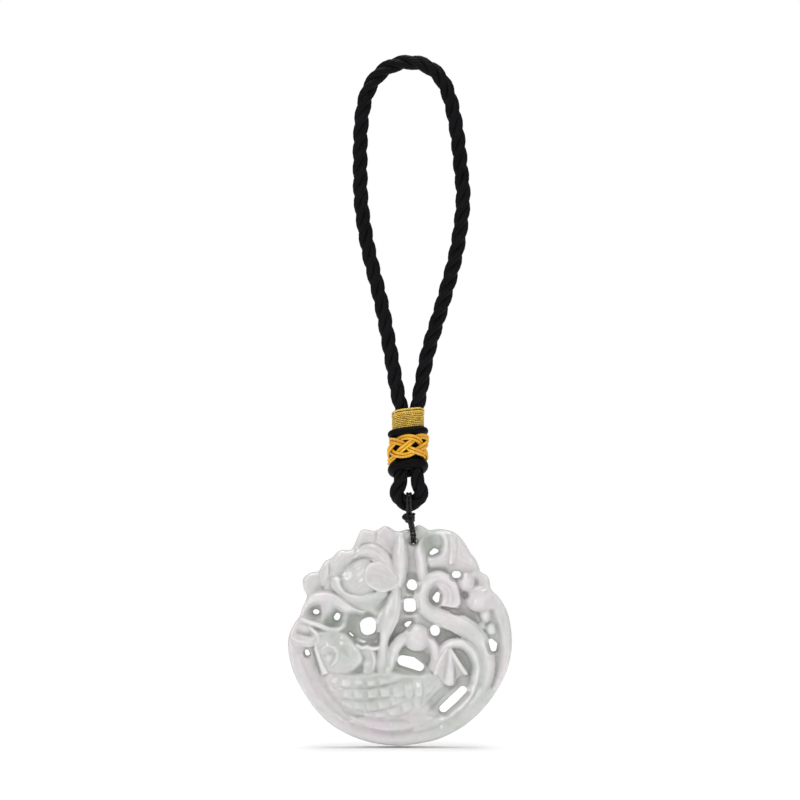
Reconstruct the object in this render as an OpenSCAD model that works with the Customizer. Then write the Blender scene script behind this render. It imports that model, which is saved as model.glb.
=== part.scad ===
// A carved, pierced jadeite disc hung by a knotted thread from a black twisted rope.
// The rope's two legs are bound by a gold whipping, two black collars and a woven yellow band.
// The origin is the underside of the rope loop's top, where the pendant hangs. +Z is up, and
// the carved face looks along -Y.

/* [Disc] */
// Width of the carved disc
disc_w = 56; // [50:1:60]
// Depth of the plain back behind the thread's plane
disc_back = 2.6; // [2.2:0.1:2.6]
// Level of the recess floors in front of the thread's plane
floor_h = 1; // [0.6:0.1:1.2]
// Radius of the hole that the thread goes through
thread_hole_r = 1; // [0.95:0.05:1.2]

/* [Rope] */
// Thickness of the twisted rope
rope_d = 3.9; // [3.6:0.1:4]
// Thickness of each rope leg where the band squeezes it
squeezed_d = 3.5; // [3.2:0.1:3.5]

/* [Band] */
// Height of the gold whipping
whipping_h = 4.7; // [3:0.1:5]
// Height of the upper collar, one turn of thick cord
upper_collar_h = 1.9; // [1.5:0.1:2.2]
// Height of the woven band
weave_h = 6.3; // [5:0.1:7]
// Height of the lower collar
lower_collar_h = 2.7; // [2:0.1:3]
// Slope of the whole band, its right side up
band_tilt = 7; // [0:1:8]

/* [Thread] */
// Thickness of one strand of the thread
strand_d = 0.75; // [0.7:0.05:0.8]

/* [Hidden] */

// Gap between pieces that lie on each other
gap = 0.1;
rope_r = rope_d / 2;
squeezed_r = squeezed_d / 2;
// Half the distance between the two rope legs inside the band
leg_x = squeezed_r + 0.05;

// Levels of the band's rings, from the top down
band_top = -85;
whipping_z = band_top - whipping_h / 2;
upper_collar_z = whipping_z - whipping_h / 2 - gap - upper_collar_h / 2;
weave_z = upper_collar_z - upper_collar_h / 2 - gap - weave_h / 2;
lower_collar_z = weave_z - weave_h / 2 - gap - lower_collar_h / 2;
// How far each ring stands out from a rope leg's centre
whipping_reach = squeezed_r + 0.6;
weave_reach = squeezed_r + 1.4;
collar_reach = squeezed_r + 1.55;
weave_corner = 0.7;

// Where the loop's rope and the eye's rope meet, hidden in the woven band
rope_joint_z = -93;

// Rope eye: its round bottom clears the thread's two strands by 0.3 on each side
eye_bend_r = rope_r + strand_d + 0.3;
eye_bottom_z = -108.5;
eye_z = eye_bottom_z + eye_bend_r;
eye_neck_z = lower_collar_z - lower_collar_h / 2 - 0.8;
// The eye's sides are a little slimmer than its round foot
eye_side_r = rope_r - 0.1;

// Thread: two strands side by side, a ring round the eye, a knot and a loop through the jade
ring_r = rope_r + 0.3 + strand_d / 2;
knot_z = -111.9;
knot_r = 0.9;
thread_hole = [1.05, -117.7];

// Disc: its places are charted on a 56 mm disc, x to the right and z up from its centre
chart_w = 56;
disc_k = disc_w / chart_w;
hole_on_chart = [3.3, 23.8];
disc_centre = thread_hole - disc_k * hole_on_chart;

// Route of the rope loop's centre line, [x, y, z], from its left end in the band to its right end
ROPE_ROUTE = [
    [-leg_x, 0, rope_joint_z], [-leg_x, 0, -89], [-leg_x, 0, -84.2], [-2.2, 0, -82.4], [-3, 0, -80],
    [-4.6, 0, -70.7], [-7, 0, -58], [-10.1, 0, -45.2], [-11.9, 0, -33.7], [-12.2, 0, -24],
    [-12.1, 0, -16.2], [-11.6, 0, -10.5], [-10.4, 0, -5.6], [-8.3, 0, -2], [-5.6, 0, 0.4],
    [-2.7, 0, 1.6], [0.4, 0, 1.95], [3.5, 0, 1.4], [6.4, 0, -0.3], [8.7, 0, -3.2], [10.2, 0, -7],
    [11.2, 0, -11.2], [12.1, 0, -16.4], [12.9, 0, -24], [13.5, 0, -33], [11.9, 0, -45.2],
    [8.5, 0, -58], [4.7, 0, -70.7], [2.9, 0, -80], [2.2, 0, -82.4], [leg_x, 0, -84.2],
    [leg_x, 0, -89], [leg_x, 0, rope_joint_z]];

// Route of the thread's lower loop, [x, y, z], from the knot round the jade's rim and through it
THREAD_ROUTE = [
    [0.1, 0, -112], [0.3, -1.5, -112.6], [0.5, -2.7, -113.5], [0.75, -3.3, -114.6],
    [1, -3.4, -115.8], [1.05, -3.3, -116.7], [1.05, -2.85, -117.4], [1.05, -1.9, -117.7],
    [1.05, 0, -117.7], [1.05, 1.9, -117.7], [1.05, 2.85, -117.4], [1.05, 3.3, -116.7],
    [1, 3.4, -115.8], [0.75, 3.3, -114.6], [0.5, 2.7, -113.5], [0.3, 1.5, -112.6]];

function unit(v) = v / norm(v);

// Direction of a route at its point i
function heading(route, i, closed) =
    let (n = len(route))
    closed ? unit(route[(i + 1) % n] - route[(i + n - 1) % n])
           : unit(route[min(i + 1, n - 1)] - route[max(i - 1, 0)]);

// One ring of a tube with the half sizes `across` and `along`, the second one towards `side`
function tube_ring(centre, t, side, across, along, sides) =
    let (n = unit(cross(t, side)), b = cross(n, t))
    [for (k = [0:sides - 1])
        let (a = 360 * (k + 0.5) / sides)
        centre + across * cos(a) * n + along * sin(a) * b];

// Tube swept along a route, with one [across, along] pair in sizes for each of its points
module tube(route, sizes, side, sides, closed = false) {
    n = len(route);
    spans = closed ? n : n - 1;
    points = [for (i = [0:n - 1])
        each tube_ring(route[i], heading(route, i, closed), side, sizes[i][0], sizes[i][1], sides)];
    walls = [for (i = [0:spans - 1], k = [0:sides - 1])
        let (j = (i + 1) % n, m = (k + 1) % sides)
        each [[i * sides + k, i * sides + m, j * sides + k],
              [i * sides + m, j * sides + m, j * sides + k]]];
    ends = closed ? [] : [[for (k = [sides - 1:-1:0]) k],
                          [for (k = [0:sides - 1]) (n - 1) * sides + k]];
    polyhedron(points, concat(walls, ends));
}

// Radius of the loop's rope at a height: squeezed inside the band and at its mouth, full above it
function loop_rope_r(z) = z < band_top + 1 ? squeezed_r : rope_r;

module rope_loop() {
    sizes = [for (p = ROPE_ROUTE) [loop_rope_r(p[2]), loop_rope_r(p[2])]];
    color([0.06, 0.06, 0.07]) tube(ROPE_ROUTE, sizes, [0, 1, 0], 10);
}

// Rod with round ends between two points [x, z] of the hanging plane
module rod(from, to, r) {
    run = to - from;
    translate([from[0], 0, from[1]])
        rotate([0, atan2(run[0], run[1]), 0]) {
            cylinder(r = r, h = norm(run), $fn = 32);
            for (end = [0, norm(run)]) translate([0, 0, end]) sphere(r, $fn = 32);
        }
}

module rope_eye() {
    color([0.06, 0.06, 0.07]) {
        for (s = [-1, 1]) {
            rod([s * leg_x, eye_neck_z], [s * eye_bend_r, eye_z], eye_side_r);
            translate([s * leg_x, 0, eye_neck_z])
                cylinder(r = squeezed_r, h = rope_joint_z - eye_neck_z, $fn = 32);
        }
        translate([0, 0, eye_z])
            rotate([-90, 0, 0])
                rotate_extrude(angle = 180, $fn = 48) translate([eye_bend_r, 0]) circle(rope_r, $fn = 32);
    }
}

// Space for the two rope legs through a ring of the band
module rope_channel(z) {
    reach = 12;
    translate([0, 0, z - reach / 2])
        linear_extrude(reach) {
            square([2 * leg_x, 2 * (squeezed_r + gap)], center = true);
            for (s = [-1, 1]) translate([s * leg_x, 0]) circle(squeezed_r + gap, $fn = 48);
        }
}

// Ring round both rope legs; its child is the section, [distance from a leg's centre, height]
module band_ring(z) {
    difference() {
        translate([0, 0, z])
            rotate([0, -band_tilt, 0]) {
                for (s = [-1, 1])
                    translate([s * leg_x, 0, 0])
                        rotate([0, 0, -90 * s]) rotate_extrude(angle = 180, $fn = 48) children();
                rotate([90, 0, 90])
                    linear_extrude(2 * leg_x, center = true) {
                        children();
                        mirror([1, 0]) children();
                    }
            }
        rope_channel(z);
    }
}

// Half section of a ring with rounded outer corners
module ring_section(reach, h, corner) {
    translate([0, -h / 2]) square([reach - corner, h]);
    translate([0, corner - h / 2]) square([reach, h - 2 * corner]);
    for (s = [-1, 1]) translate([reach - corner, s * (h / 2 - corner)]) circle(corner, $fn = 32);
}

module gold_whipping() {
    color([0.8, 0.62, 0.25]) band_ring(whipping_z) ring_section(whipping_reach, whipping_h, 0.25);
}

module upper_collar() {
    color([0.07, 0.07, 0.08])
        band_ring(upper_collar_z) ring_section(collar_reach, upper_collar_h, upper_collar_h / 2 - 0.05);
}

module woven_band() {
    color([0.9, 0.66, 0.15]) band_ring(weave_z) ring_section(weave_reach, weave_h, weave_corner);
}

module lower_collar() {
    color([0.07, 0.07, 0.08])
        band_ring(lower_collar_z) ring_section(collar_reach, lower_collar_h, lower_collar_h / 2 - 0.05);
}

module tie_thread() {
    strands = [strand_d / 2, strand_d];
    wraps = 2;
    steps = 10;
    color([0.08, 0.08, 0.09]) {
        translate([0, 0, eye_bottom_z])
            rotate([0, 90, 0])
                rotate_extrude($fn = 36) translate([ring_r, 0]) {
                    square(strand_d, center = true);
                    for (s = [-1, 1]) translate([0, s * strand_d / 2]) circle(strand_d / 2, $fn = 12);
                }
        tube(THREAD_ROUTE, [for (p = THREAD_ROUTE) strands], [1, 0, 0], 10, closed = true);
        for (i = [0:wraps * steps - 1])
            hull() for (j = [i, i + 1])
                translate([knot_r * cos(360 * j / steps), 0.8 * knot_r * sin(360 * j / steps),
                           knot_z + 0.4 - 0.8 * j / (wraps * steps)])
                    sphere(strand_d / 2, $fn = 8);
    }
}

// Outline of the disc, [x, z], once round from the top
OUTLINE = [
    [0, 26.1], [-1, 26.1], [-2, 26.7], [-3.7, 27.5], [-5.5, 26.5], [-6.5, 26.2], [-9, 26.6], [-10, 26],
    [-10.9, 24], [-12.2, 21.5], [-14.4, 21.5], [-15.7, 20.9], [-17, 19.5], [-18.8, 18.6], [-19.8, 17],
    [-20.4, 16.1], [-22.5, 15.7], [-24.1, 14.5], [-24.3, 13.5], [-23.9, 11.5], [-23.2, 9.9], [-24.4, 7],
    [-25.2, 4.7], [-26.3, 3.3], [-27.5, 1.2], [-28, -1], [-28, -4], [-27, -8], [-25.5, -11.5],
    [-23, -15.7], [-20.5, -19], [-17, -22.2], [-13, -24.5], [-9, -26], [-5, -26.9], [0, -27.3],
    [5.5, -26.6], [10, -25.5], [14, -23.6], [17.5, -21.3], [20.5, -18.5], [23.3, -15], [25.5, -11.3],
    [27, -7.7], [27.9, -4], [28, -2], [27.7, 2], [26.8, 6], [25, 9.3], [23, 11.3], [22.6, 12],
    [22.3, 14], [21.8, 15], [20, 16.1], [19.8, 17], [19, 19], [17.6, 20.8], [16.3, 23], [14.8, 24.9],
    [13, 26.1], [10, 26.7], [7.3, 26.4], [6, 27.3], [4.8, 27.9], [4, 27.7], [3.3, 26.7], [1.5, 26.6]];

// Round edge of the disc: [inset from the outline, level in front of the thread's plane]
EDGE = [
    [1.6, -disc_back], [0.6, 0.4 - disc_back], [0, 1.3 - disc_back], [0, 0],
    [0.5, 0.7 * floor_h], [1.1, floor_h]];

// Ridges of the carving. Each row is [x, z, half width, height].
RIM = [
    [-25.3, 3, 1.3, 2], [-26, -1.5, 1.6, 2.2], [-25.5, -6, 1.7, 2.3], [-23.6, -11.4, 1.8, 2.4],
    [-20.2, -16.6, 1.8, 2.4], [-15.6, -20.9, 1.8, 2.4], [-10, -23.8, 1.8, 2.4], [-4, -25.3, 1.9, 2.4],
    [2, -25.4, 2, 2.4], [8, -24.3, 2.2, 2.4], [13.5, -21.9, 2.3, 2.4], [18.4, -18, 2.6, 2.4],
    [22.2, -13.2, 2.6, 2.4], [24.6, -8.4, 2.4, 2.4], [25.7, -3, 2, 2.4], [25.3, 2, 2, 2.4],
    [24.4, 5.8, 2, 2.4], [22.6, 9.4, 1.6, 2.3]];

STEM = [
    [0.6, 25.2, 1.3, 2.1], [0.2, 23.4, 1.5, 2.6], [0, 20, 1.6, 3.3], [0, 16.5, 1.6, 3.6],
    [-0.3, 13.4, 1.4, 3.3], [-1.4, 10, 1.6, 3.5], [-2.3, 7, 1.9, 3.6], [-3.1, 4, 1.8, 3.5],
    [-3.8, 1.2, 1.4, 3.2], [-4.1, -2.5, 1.3, 3], [-4.3, -6, 1.2, 2.9], [-5.4, -8.6, 0.9, 2.6]];

LEAF_EDGE = [
    [-1.9, 10.6, 0.5, 2.4], [-3.3, 7.3, 0.7, 2.7], [-4.6, 5.6, 0.7, 2.8], [-5.3, 3.8, 0.6, 2.6],
    [-5.4, 1.6, 0.5, 2.2]];

PETAL_ARC = [
    [-11.3, 20.4, 1.1, 2.4], [-9.6, 21.6, 1.3, 2.8], [-7.4, 21.9, 1.3, 3], [-5.2, 21.1, 1.3, 3],
    [-3.2, 19.4, 1.2, 3], [-1.9, 17.2, 0.9, 2.8]];

PETAL_BOWL = [
    [-9.3, 19.4, 0.9, 2.9], [-12, 18.5, 1, 3], [-14.2, 16.4, 1, 3.1], [-15, 13.8, 0.9, 3.1],
    [-13.9, 11.7, 0.8, 3.1], [-11.2, 10.7, 0.8, 3.1], [-8.2, 10.9, 0.7, 3]];

PETAL_LIP = [
    [-17.6, 13.4, 0.9, 2.4], [-16.4, 11.3, 1, 2.9], [-13.4, 9.5, 1.1, 3.2], [-10, 8.8, 1.2, 3.2],
    [-6.6, 9.2, 1.2, 3.1], [-4, 10.6, 1, 3], [-2.6, 12.4, 0.9, 2.9]];

ARCH_TOP = [
    [-23, 9.4, 0.9, 2], [-21.4, 10.3, 1.1, 2.5], [-18.4, 10.4, 1.2, 2.9], [-15.4, 9.1, 1.2, 3],
    [-13, 7.4, 1.2, 3], [-10.6, 6.3, 1.1, 2.9], [-8, 5.8, 0.9, 2.7], [-5.9, 6.6, 0.7, 2.5]];

ARCH_FOOT = [
    [-24.4, 4.4, 0.9, 2], [-21.4, 3.4, 1, 2.6], [-18.2, 2.6, 1, 2.9], [-15.4, 2.4, 1.1, 3],
    [-13.6, 3.8, 1, 3], [-13, 5.8, 0.9, 2.9]];

SNOUT = [
    [-26, -0.8, 0.6, 2.4], [-24.4, -1.2, 0.8, 2.5], [-22.4, -1, 0.8, 2.7], [-20.6, -0.2, 0.8, 3]];

LIP = [[-24.4, 2, 0.9, 2.2], [-22.6, 1.3, 0.9, 2.5], [-20.8, 0.4, 0.8, 2.9]];

BARBEL = [
    [-21.2, -2.6, 0.75, 3.3], [-20.4, -5, 0.75, 3.4], [-19.5, -7.2, 0.75, 3.3], [-18.8, -9, 0.7, 3]];

BELLY_FIN = [
    [-13, -19.4, 0.9, 2.3], [-9.5, -21.4, 1.3, 2.5], [-5, -22.2, 1.4, 2.6], [-0.5, -21.9, 1.2, 2.5],
    [3, -21, 0.7, 2.3]];

SMALL_LEAF = [[1.4, -20, 0.8, 2.4], [4.4, -20.6, 1.2, 2.6], [8, -20.4, 0.7, 2.3]];

LEFT_LEG = [
    [1.6, -1, 0.9, 2.6], [-0.6, -2.4, 1, 3], [-2, -5, 1, 3.1], [-2.8, -8, 1, 3], [-4.4, -9.4, 0.8, 2.8]];

RIGHT_LEG = [[7.2, -1.6, 0.9, 2.6], [8.4, -3.6, 1, 3.1], [8.6, -6, 0.9, 3.1], [8.2, -8.2, 0.7, 2.9]];

TOP_SCROLL = [
    [4.5, 14.6, 0.9, 2.4], [4.3, 16.6, 1.1, 2.9], [4.4, 19.4, 1.1, 3], [5, 22.2, 1, 2.6],
    [6.4, 24.4, 1, 2.5], [8.3, 25.3, 1.2, 2.8], [10.6, 24.9, 1.3, 3.3], [12, 23.2, 1.3, 3.5],
    [11.8, 21.2, 1.2, 3.6], [10.6, 19.7, 1.1, 3.5], [8.8, 19.1, 0.9, 3.3], [7.2, 19.1, 0.6, 3]];

TOP_HEM = [[7.4, 17.9, 0.6, 2.5], [10.5, 17.6, 0.8, 2.8], [13.5, 17.7, 0.9, 2.9], [16.6, 17.5, 0.9, 2.5]];

LONG_SCROLL = [
    [14.6, 8.4, 0.8, 3.2], [14.7, 10.8, 1.1, 3.5], [13.6, 13.4, 1.3, 3.8], [11.3, 14.9, 1.4, 3.9],
    [8.6, 14.6, 1.5, 4], [6.4, 12.8, 1.5, 4], [5.5, 10.2, 1.5, 4], [6.1, 7.6, 1.5, 3.9],
    [8.2, 5.7, 1.5, 3.8], [11.6, 4.4, 1.5, 3.8], [15.4, 3.3, 1.6, 3.8], [18.6, 1.6, 1.6, 3.8],
    [20.7, -1, 1.4, 3.8], [21.7, -4, 1.3, 3.7], [22.2, -7.2, 1.4, 3.6], [21.4, -10.9, 1.4, 3.5],
    [19.6, -14.2, 1.4, 3.4], [17, -17.3, 1.4, 3.2], [13.6, -20, 1.4, 2.9], [9.6, -22.2, 1.4, 2.6]];

FAN_RING = [[9.6, 13, 0.7, 3.2], [11.3, 12.6, 0.8, 3.4], [12.3, 10.6, 0.8, 3.4], [12.1, 8.4, 0.7, 3.2]];

LOW_SCROLL = [
    [9.6, -3, 0.9, 2.8], [11, -1.8, 1.2, 3.4], [13.6, -1.2, 1.3, 3.9], [16.4, -1.8, 1.4, 4.1],
    [18.4, -3.8, 1.4, 4.2], [19.3, -6.8, 1.3, 4.2], [19.1, -10, 1.3, 4], [18.2, -13.2, 1.2, 3.8],
    [16.6, -16, 1.1, 3.5], [14, -18.6, 1, 3.1], [11.4, -20.5, 0.9, 2.8]];

TASSEL_LEFT = [[12, -3.2, 0.7, 3.2], [10.6, -5.6, 0.9, 3.4], [9.4, -8.2, 0.9, 3.2]];
TASSEL_MID = [[12.4, -3.6, 0.8, 3.4], [12.2, -7, 1.2, 3.7], [11.9, -10.4, 1.4, 3.6]];
TASSEL_RIGHT = [[13, -3.9, 0.6, 3.4], [14.4, -6.8, 0.7, 3.4], [16, -9.2, 0.8, 3.2], [17.6, -9.9, 0.7, 3]];

RIDGES = [RIM, STEM, LEAF_EDGE, PETAL_ARC, PETAL_BOWL, PETAL_LIP, ARCH_TOP, ARCH_FOOT, SNOUT, LIP,
          BARBEL, BELLY_FIN, SMALL_LEAF, LEFT_LEG, RIGHT_LEG, TOP_SCROLL, TOP_HEM,
          LONG_SCROLL, FAN_RING, LOW_SCROLL, TASSEL_LEFT, TASSEL_MID, TASSEL_RIGHT];

// Rounded masses of the carving. Each row is [x, z, half width, half height, turn, level].
DOMES = [
    // Spoon petal and the floor of the bowl petal
    [-5.2, 14.7, 4.2, 3.2, -25, 3.3], [-11, 14.6, 3.4, 3.8, 0, 2.1],
    // Fish: head, gill cover, eye and the fold behind the gill
    [-15.4, -4.2, 6.2, 5.2, 0, 3.9], [-12.2, -5.2, 2.8, 3.4, 0, 3.8], [-17.5, -5, 1.6, 1.7, 0, 4.3],
    [-7.9, -5.6, 1.8, 2.6, 15, 2.2],
    // Ball held by the two legs, and the inside of the long scroll's fan
    [4.5, 0.2, 3.1, 3, 0, 4.3], [11.2, 10.4, 1.6, 2.6, -10, 3.1],
    // Buds and pearls on the right
    [16.6, 13.8, 2.1, 2, 0, 3], [20, 9.4, 3, 3, 0, 3.6],
    [20.9, 5.4, 1.4, 1.5, 0, 3.1], [22.6, 1.9, 1.3, 1.3, 0, 3.1], [20.4, 2.7, 1, 1, 0, 3],
    // Small lobe beside the thread
    [5.6, 26, 1.5, 1.2, 0, 1.9]];

// Flat-topped masses with a bevelled edge: [level, bevel, outline as [x, z] points]
MASSES = [
    // Petals along the rim, from the stem to the left
    [2.3, 0.7, [[-6, 24], [-5.6, 26], [-3.7, 27], [-2, 26.3], [-0.9, 25.4], [-1, 22.4], [-3.4, 22.2]]],
    [2.3, 0.7, [[-11.2, 22.4], [-10, 25.6], [-9, 26.2], [-6.7, 25.8], [-6.4, 24], [-8.6, 22.8]]],
    [2.3, 0.8, [[-11.6, 20.6], [-12.6, 21.2], [-14.4, 21.2], [-18.2, 18.2], [-17.6, 15.6], [-15.4, 15.4]]],
    [2.1, 0.6, [[-18.8, 18], [-20.1, 16], [-18.9, 13.2], [-17.7, 14.2], [-17.9, 16.4]]],
    [2, 0.7, [[-20.7, 15.6], [-22.5, 15.3], [-23.9, 14.2], [-23.6, 11.4], [-21.4, 11.4], [-19.3, 12.7]]],
    // Flare of the top scroll, and the leaf tip at the rim below it
    [2.8, 0.9, [[13, 25.6], [14.6, 24.4], [17.3, 20.6], [19, 17.9], [16, 17], [12.6, 18], [12.6, 23.4]]],
    [2.1, 0.6, [[19.8, 16.2], [21.7, 14.7], [22.2, 12.2], [20.4, 11.9], [18.6, 13.4], [18.6, 15.4]]],
    // Fish's side and its tail
    [3.2, 1, [[-16.9, -10.2], [-6, -9.2], [4, -10.4], [6, -13.4], [4, -17.4], [0, -19.8], [-4, -20.4],
              [-9, -19.6], [-13, -17.6], [-16.8, -12.8]]],
    [2.5, 0.9, [[3, -10], [8, -10.4], [13, -13], [11, -16.4], [9, -19], [5, -19.4], [2.6, -18]]]];

// Rows of scales on the fish: [first x, last x, z at the first, z at the last, number]
SCALE_ROWS = [
    [-15, -2, -11.1, -10.9, 6], [-13.8, 3.4, -13.6, -12.6, 7], [-11.8, 3, -16.2, -15, 6],
    [-9, 0.4, -18.5, -17.4, 4]];
scale_r = 1.4;
scale_start = 2.4;
scale_level = 3.8;

// Holes right through, each an outline of corner circles [x, z, radius]
HOLES = [
    [[7.9, 20.6, 0.75], [9.3, 21.5, 0.7]],
    [[13.6, 15.3, 0.75], [14.6, 15.3, 0.75]],
    [[2.3, 12.6, 0.7], [3.3, 13.4, 0.7], [3.7, 12.2, 0.7]],
    [[1.5, 8.5, 0.7], [3.3, 8.5, 0.7], [3.2, 6.8, 0.7], [1.5, 6.8, 0.7]],
    [[1.7, 2.8, 0.5], [2.3, 3.3, 0.5]],
    [[8.7, 1.4, 1.15], [8.8, 1.2, 1.15]],
    [[9, 9.1, 0.75], [9.3, 10.2, 0.75]],
    [[22.9, -1.6, 0.75], [23.6, -3, 0.8]],
    [[-8.9, 3.6, 1.1], [-7.1, 3.7, 1.1], [-8, 1.5, 1.1]],
    [[-21.2, 6, 0.6], [-20.8, 6, 0.6]],
    [[-15.9, 4.6, 0.7], [-15.5, 5, 0.7]],
    [[-23.3, -3.9, 0.5], [-23.1, -4.5, 0.55]],
    [[0.9, -6.2, 1.4], [5, -7.9, 0.95]],
    [[10.9, -18.2, 0.95], [15.6, -13.6, 0.95]]];
hole_sides = 14;
// Depth of every cut, well past both faces
drill = 20;

// Level at which ridges, domes and masses start, sunk below the recess floors
foot = floor_h - 0.5;

// Half-round section of a ridge: [share of the half width, share of the height above its foot]
RIDGE_PROFILE = [[-1, 0], [-0.76, 0.66], [-0.3, 1], [0.3, 1], [0.76, 0.66], [1, 0]];

// Section of a ridge at its row i, as points of the disc
function ridge_section(rows, i) =
    let (p = rows[i], before = rows[max(i - 1, 0)], after = rows[min(i + 1, len(rows) - 1)],
         t = unit([after[0] - before[0], after[1] - before[1]]))
    [for (s = RIDGE_PROFILE)
        [p[0] - t[1] * s[0] * p[2], -foot - s[1] * (p[3] - foot), p[1] + t[0] * s[0] * p[2]]];

module ridge(rows) {
    m = len(RIDGE_PROFILE);
    for (i = [0:len(rows) - 2])
        hull()
            polyhedron(concat(ridge_section(rows, i), ridge_section(rows, i + 1)),
                       [for (k = [0:2 * m - 3]) [k, k + 1, k + 2]]);
}

// Half section of a dome: [share of the half width, share of the height above its foot]
DOME_PROFILE = [[0, 0], [1, 0], [0.82, 0.62], [0.45, 0.92], [0, 1]];

// Rounded mass on the disc
module dome(x, z, w, h, turn, level, sides = 14, start = foot) {
    translate([x, -start, z])
        rotate([90, 0, 0])
            rotate([0, 0, turn])
                scale([w, h, level - start]) rotate_extrude($fn = sides) polygon(DOME_PROFILE);
}

// Flat-topped mass on the disc
module mass(level, bevel, outline) {
    slice = 0.1;
    rotate([90, 0, 0])
        hull() {
            translate([0, 0, foot]) linear_extrude(slice) polygon(outline);
            translate([0, 0, level - slice]) linear_extrude(slice) offset(delta = -bevel) polygon(outline);
        }
}

// Rows of scales along the fish's side
module scales() {
    for (row = SCALE_ROWS, i = [0:row[4] - 1]) {
        f = i / (row[4] - 1);
        x = row[0] + f * (row[1] - row[0]);
        z = row[2] + f * (row[3] - row[2]);
        dome(x, z, scale_r, scale_r, 0, scale_level, 8, scale_start);
    }
}

// Plate of the disc: the outline with a rounded edge, back to front
module plate() {
    n = len(OUTLINE);
    m = len(EDGE);
    points = [for (e = EDGE, p = OUTLINE)
        let (k = 1 - e[0] / norm(p))
        [p[0] * k, -e[1], p[1] * k]];
    walls = [for (j = [0:m - 2], i = [0:n - 1])
        let (k = (i + 1) % n)
        each [[j * n + i, (j + 1) * n + i, j * n + k],
              [j * n + k, (j + 1) * n + i, (j + 1) * n + k]]];
    back = [for (i = [0:n - 1]) i];
    front = [for (i = [n - 1:-1:0]) (m - 1) * n + i];
    polyhedron(points, concat(walls, [back, front]));
}

module hole_outline(corners) {
    hull() for (c = corners) translate([c[0], c[1]]) circle(c[2], $fn = hole_sides);
}

module jade_disc() {
    color([0.82, 0.83, 0.82])
        translate([disc_centre[0], 0, disc_centre[1]])
            scale([disc_k, 1, disc_k])
                difference() {
                    union() {
                        plate();
                        for (rows = RIDGES) ridge(rows);
                        for (d = DOMES) dome(d[0], d[1], d[2], d[3], d[4], d[5]);
                        for (m = MASSES) mass(m[0], m[1], m[2]);
                        scales();
                    }
                    rotate([90, 0, 0]) linear_extrude(drill, center = true) for (h = HOLES) hole_outline(h);
                    translate([hole_on_chart[0], 0, hole_on_chart[1]])
                        rotate([90, 0, 0]) cylinder(r = thread_hole_r, h = drill, center = true, $fn = 32);
                }
}

rope_loop();
rope_eye();
gold_whipping();
upper_collar();
woven_band();
lower_collar();
tie_thread();
jade_disc();
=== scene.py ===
import math

import bpy
import numpy as np
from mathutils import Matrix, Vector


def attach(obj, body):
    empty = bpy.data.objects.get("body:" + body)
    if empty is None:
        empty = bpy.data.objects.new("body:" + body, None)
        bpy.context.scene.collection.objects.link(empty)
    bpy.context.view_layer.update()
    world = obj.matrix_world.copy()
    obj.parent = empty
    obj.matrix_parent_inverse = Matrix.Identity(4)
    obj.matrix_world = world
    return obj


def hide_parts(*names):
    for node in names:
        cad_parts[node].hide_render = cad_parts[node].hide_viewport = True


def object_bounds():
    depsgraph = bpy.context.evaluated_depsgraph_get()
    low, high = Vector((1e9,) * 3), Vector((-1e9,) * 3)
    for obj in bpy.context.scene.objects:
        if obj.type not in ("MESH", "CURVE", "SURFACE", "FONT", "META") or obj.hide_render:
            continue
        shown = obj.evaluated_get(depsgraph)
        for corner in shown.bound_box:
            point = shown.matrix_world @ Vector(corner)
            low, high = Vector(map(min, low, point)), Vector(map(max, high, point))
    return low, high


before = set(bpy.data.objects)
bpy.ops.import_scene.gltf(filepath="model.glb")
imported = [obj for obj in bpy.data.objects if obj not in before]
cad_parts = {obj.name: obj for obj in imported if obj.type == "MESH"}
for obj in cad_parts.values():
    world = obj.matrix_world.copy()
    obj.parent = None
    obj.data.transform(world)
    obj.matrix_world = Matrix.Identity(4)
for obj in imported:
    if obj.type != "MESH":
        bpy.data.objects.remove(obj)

cad_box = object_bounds()
MM = 0.001

# Camera
# The photograph looks straight at the carved face from far away. Its 800 pixels span 200 mm where
# the pendant hangs, and its middle lies a little left of the loop's top.
view_width = 200 * MM
view_centre = (-2.25 * MM, 0, -82.5 * MM)
camera = bpy.data.objects.new("camera", bpy.data.cameras.new("camera"))
camera.data.sensor_width = 36
camera.data.lens = 150
camera_distance = view_width * camera.data.lens / camera.data.sensor_width
camera.location = (view_centre[0], -camera_distance, view_centre[2])
camera.rotation_euler = (math.radians(90), 0, 0)
camera.data.clip_start = 0.01
bpy.context.scene.collection.objects.link(camera)
bpy.context.scene.camera = camera

# Rope loop
# A long loop of black three-strand rope, 3.9 mm thick, laid from satin yarns. Both of its legs go
# down into the band, which squeezes them, and the thing hangs from the inside of its top.
rope_r = 1.95 * MM
squeezed_r = 1.75 * MM
leg_x = 0.0018
band_top = -0.085
loop_route = [
    (-0.0018, 0, -0.093), (-0.0018, 0, -0.089), (-0.0018, 0, -0.0855), (-0.0023, 0, -0.083),
    (-0.003, 0, -0.08), (-0.0046, 0, -0.0707), (-0.007, 0, -0.058), (-0.0101, 0, -0.0452),
    (-0.0119, 0, -0.0337), (-0.0122, 0, -0.024), (-0.0121, 0, -0.0162), (-0.0116, 0, -0.0105),
    (-0.0104, 0, -0.0056), (-0.0083, 0, -0.002), (-0.0056, 0, 0.0004), (-0.0027, 0, 0.0016),
    (0.0004, 0, 0.00195), (0.0035, 0, 0.0014), (0.0064, 0, -0.0003), (0.0087, 0, -0.0032),
    (0.0102, 0, -0.007), (0.0112, 0, -0.0112), (0.0121, 0, -0.0164), (0.0129, 0, -0.024),
    (0.0135, 0, -0.033), (0.0119, 0, -0.0452), (0.0085, 0, -0.058), (0.0047, 0, -0.0707),
    (0.0029, 0, -0.08), (0.0023, 0, -0.083), (0.0018, 0, -0.0855), (0.0018, 0, -0.089),
    (0.0018, 0, -0.093)]


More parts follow.
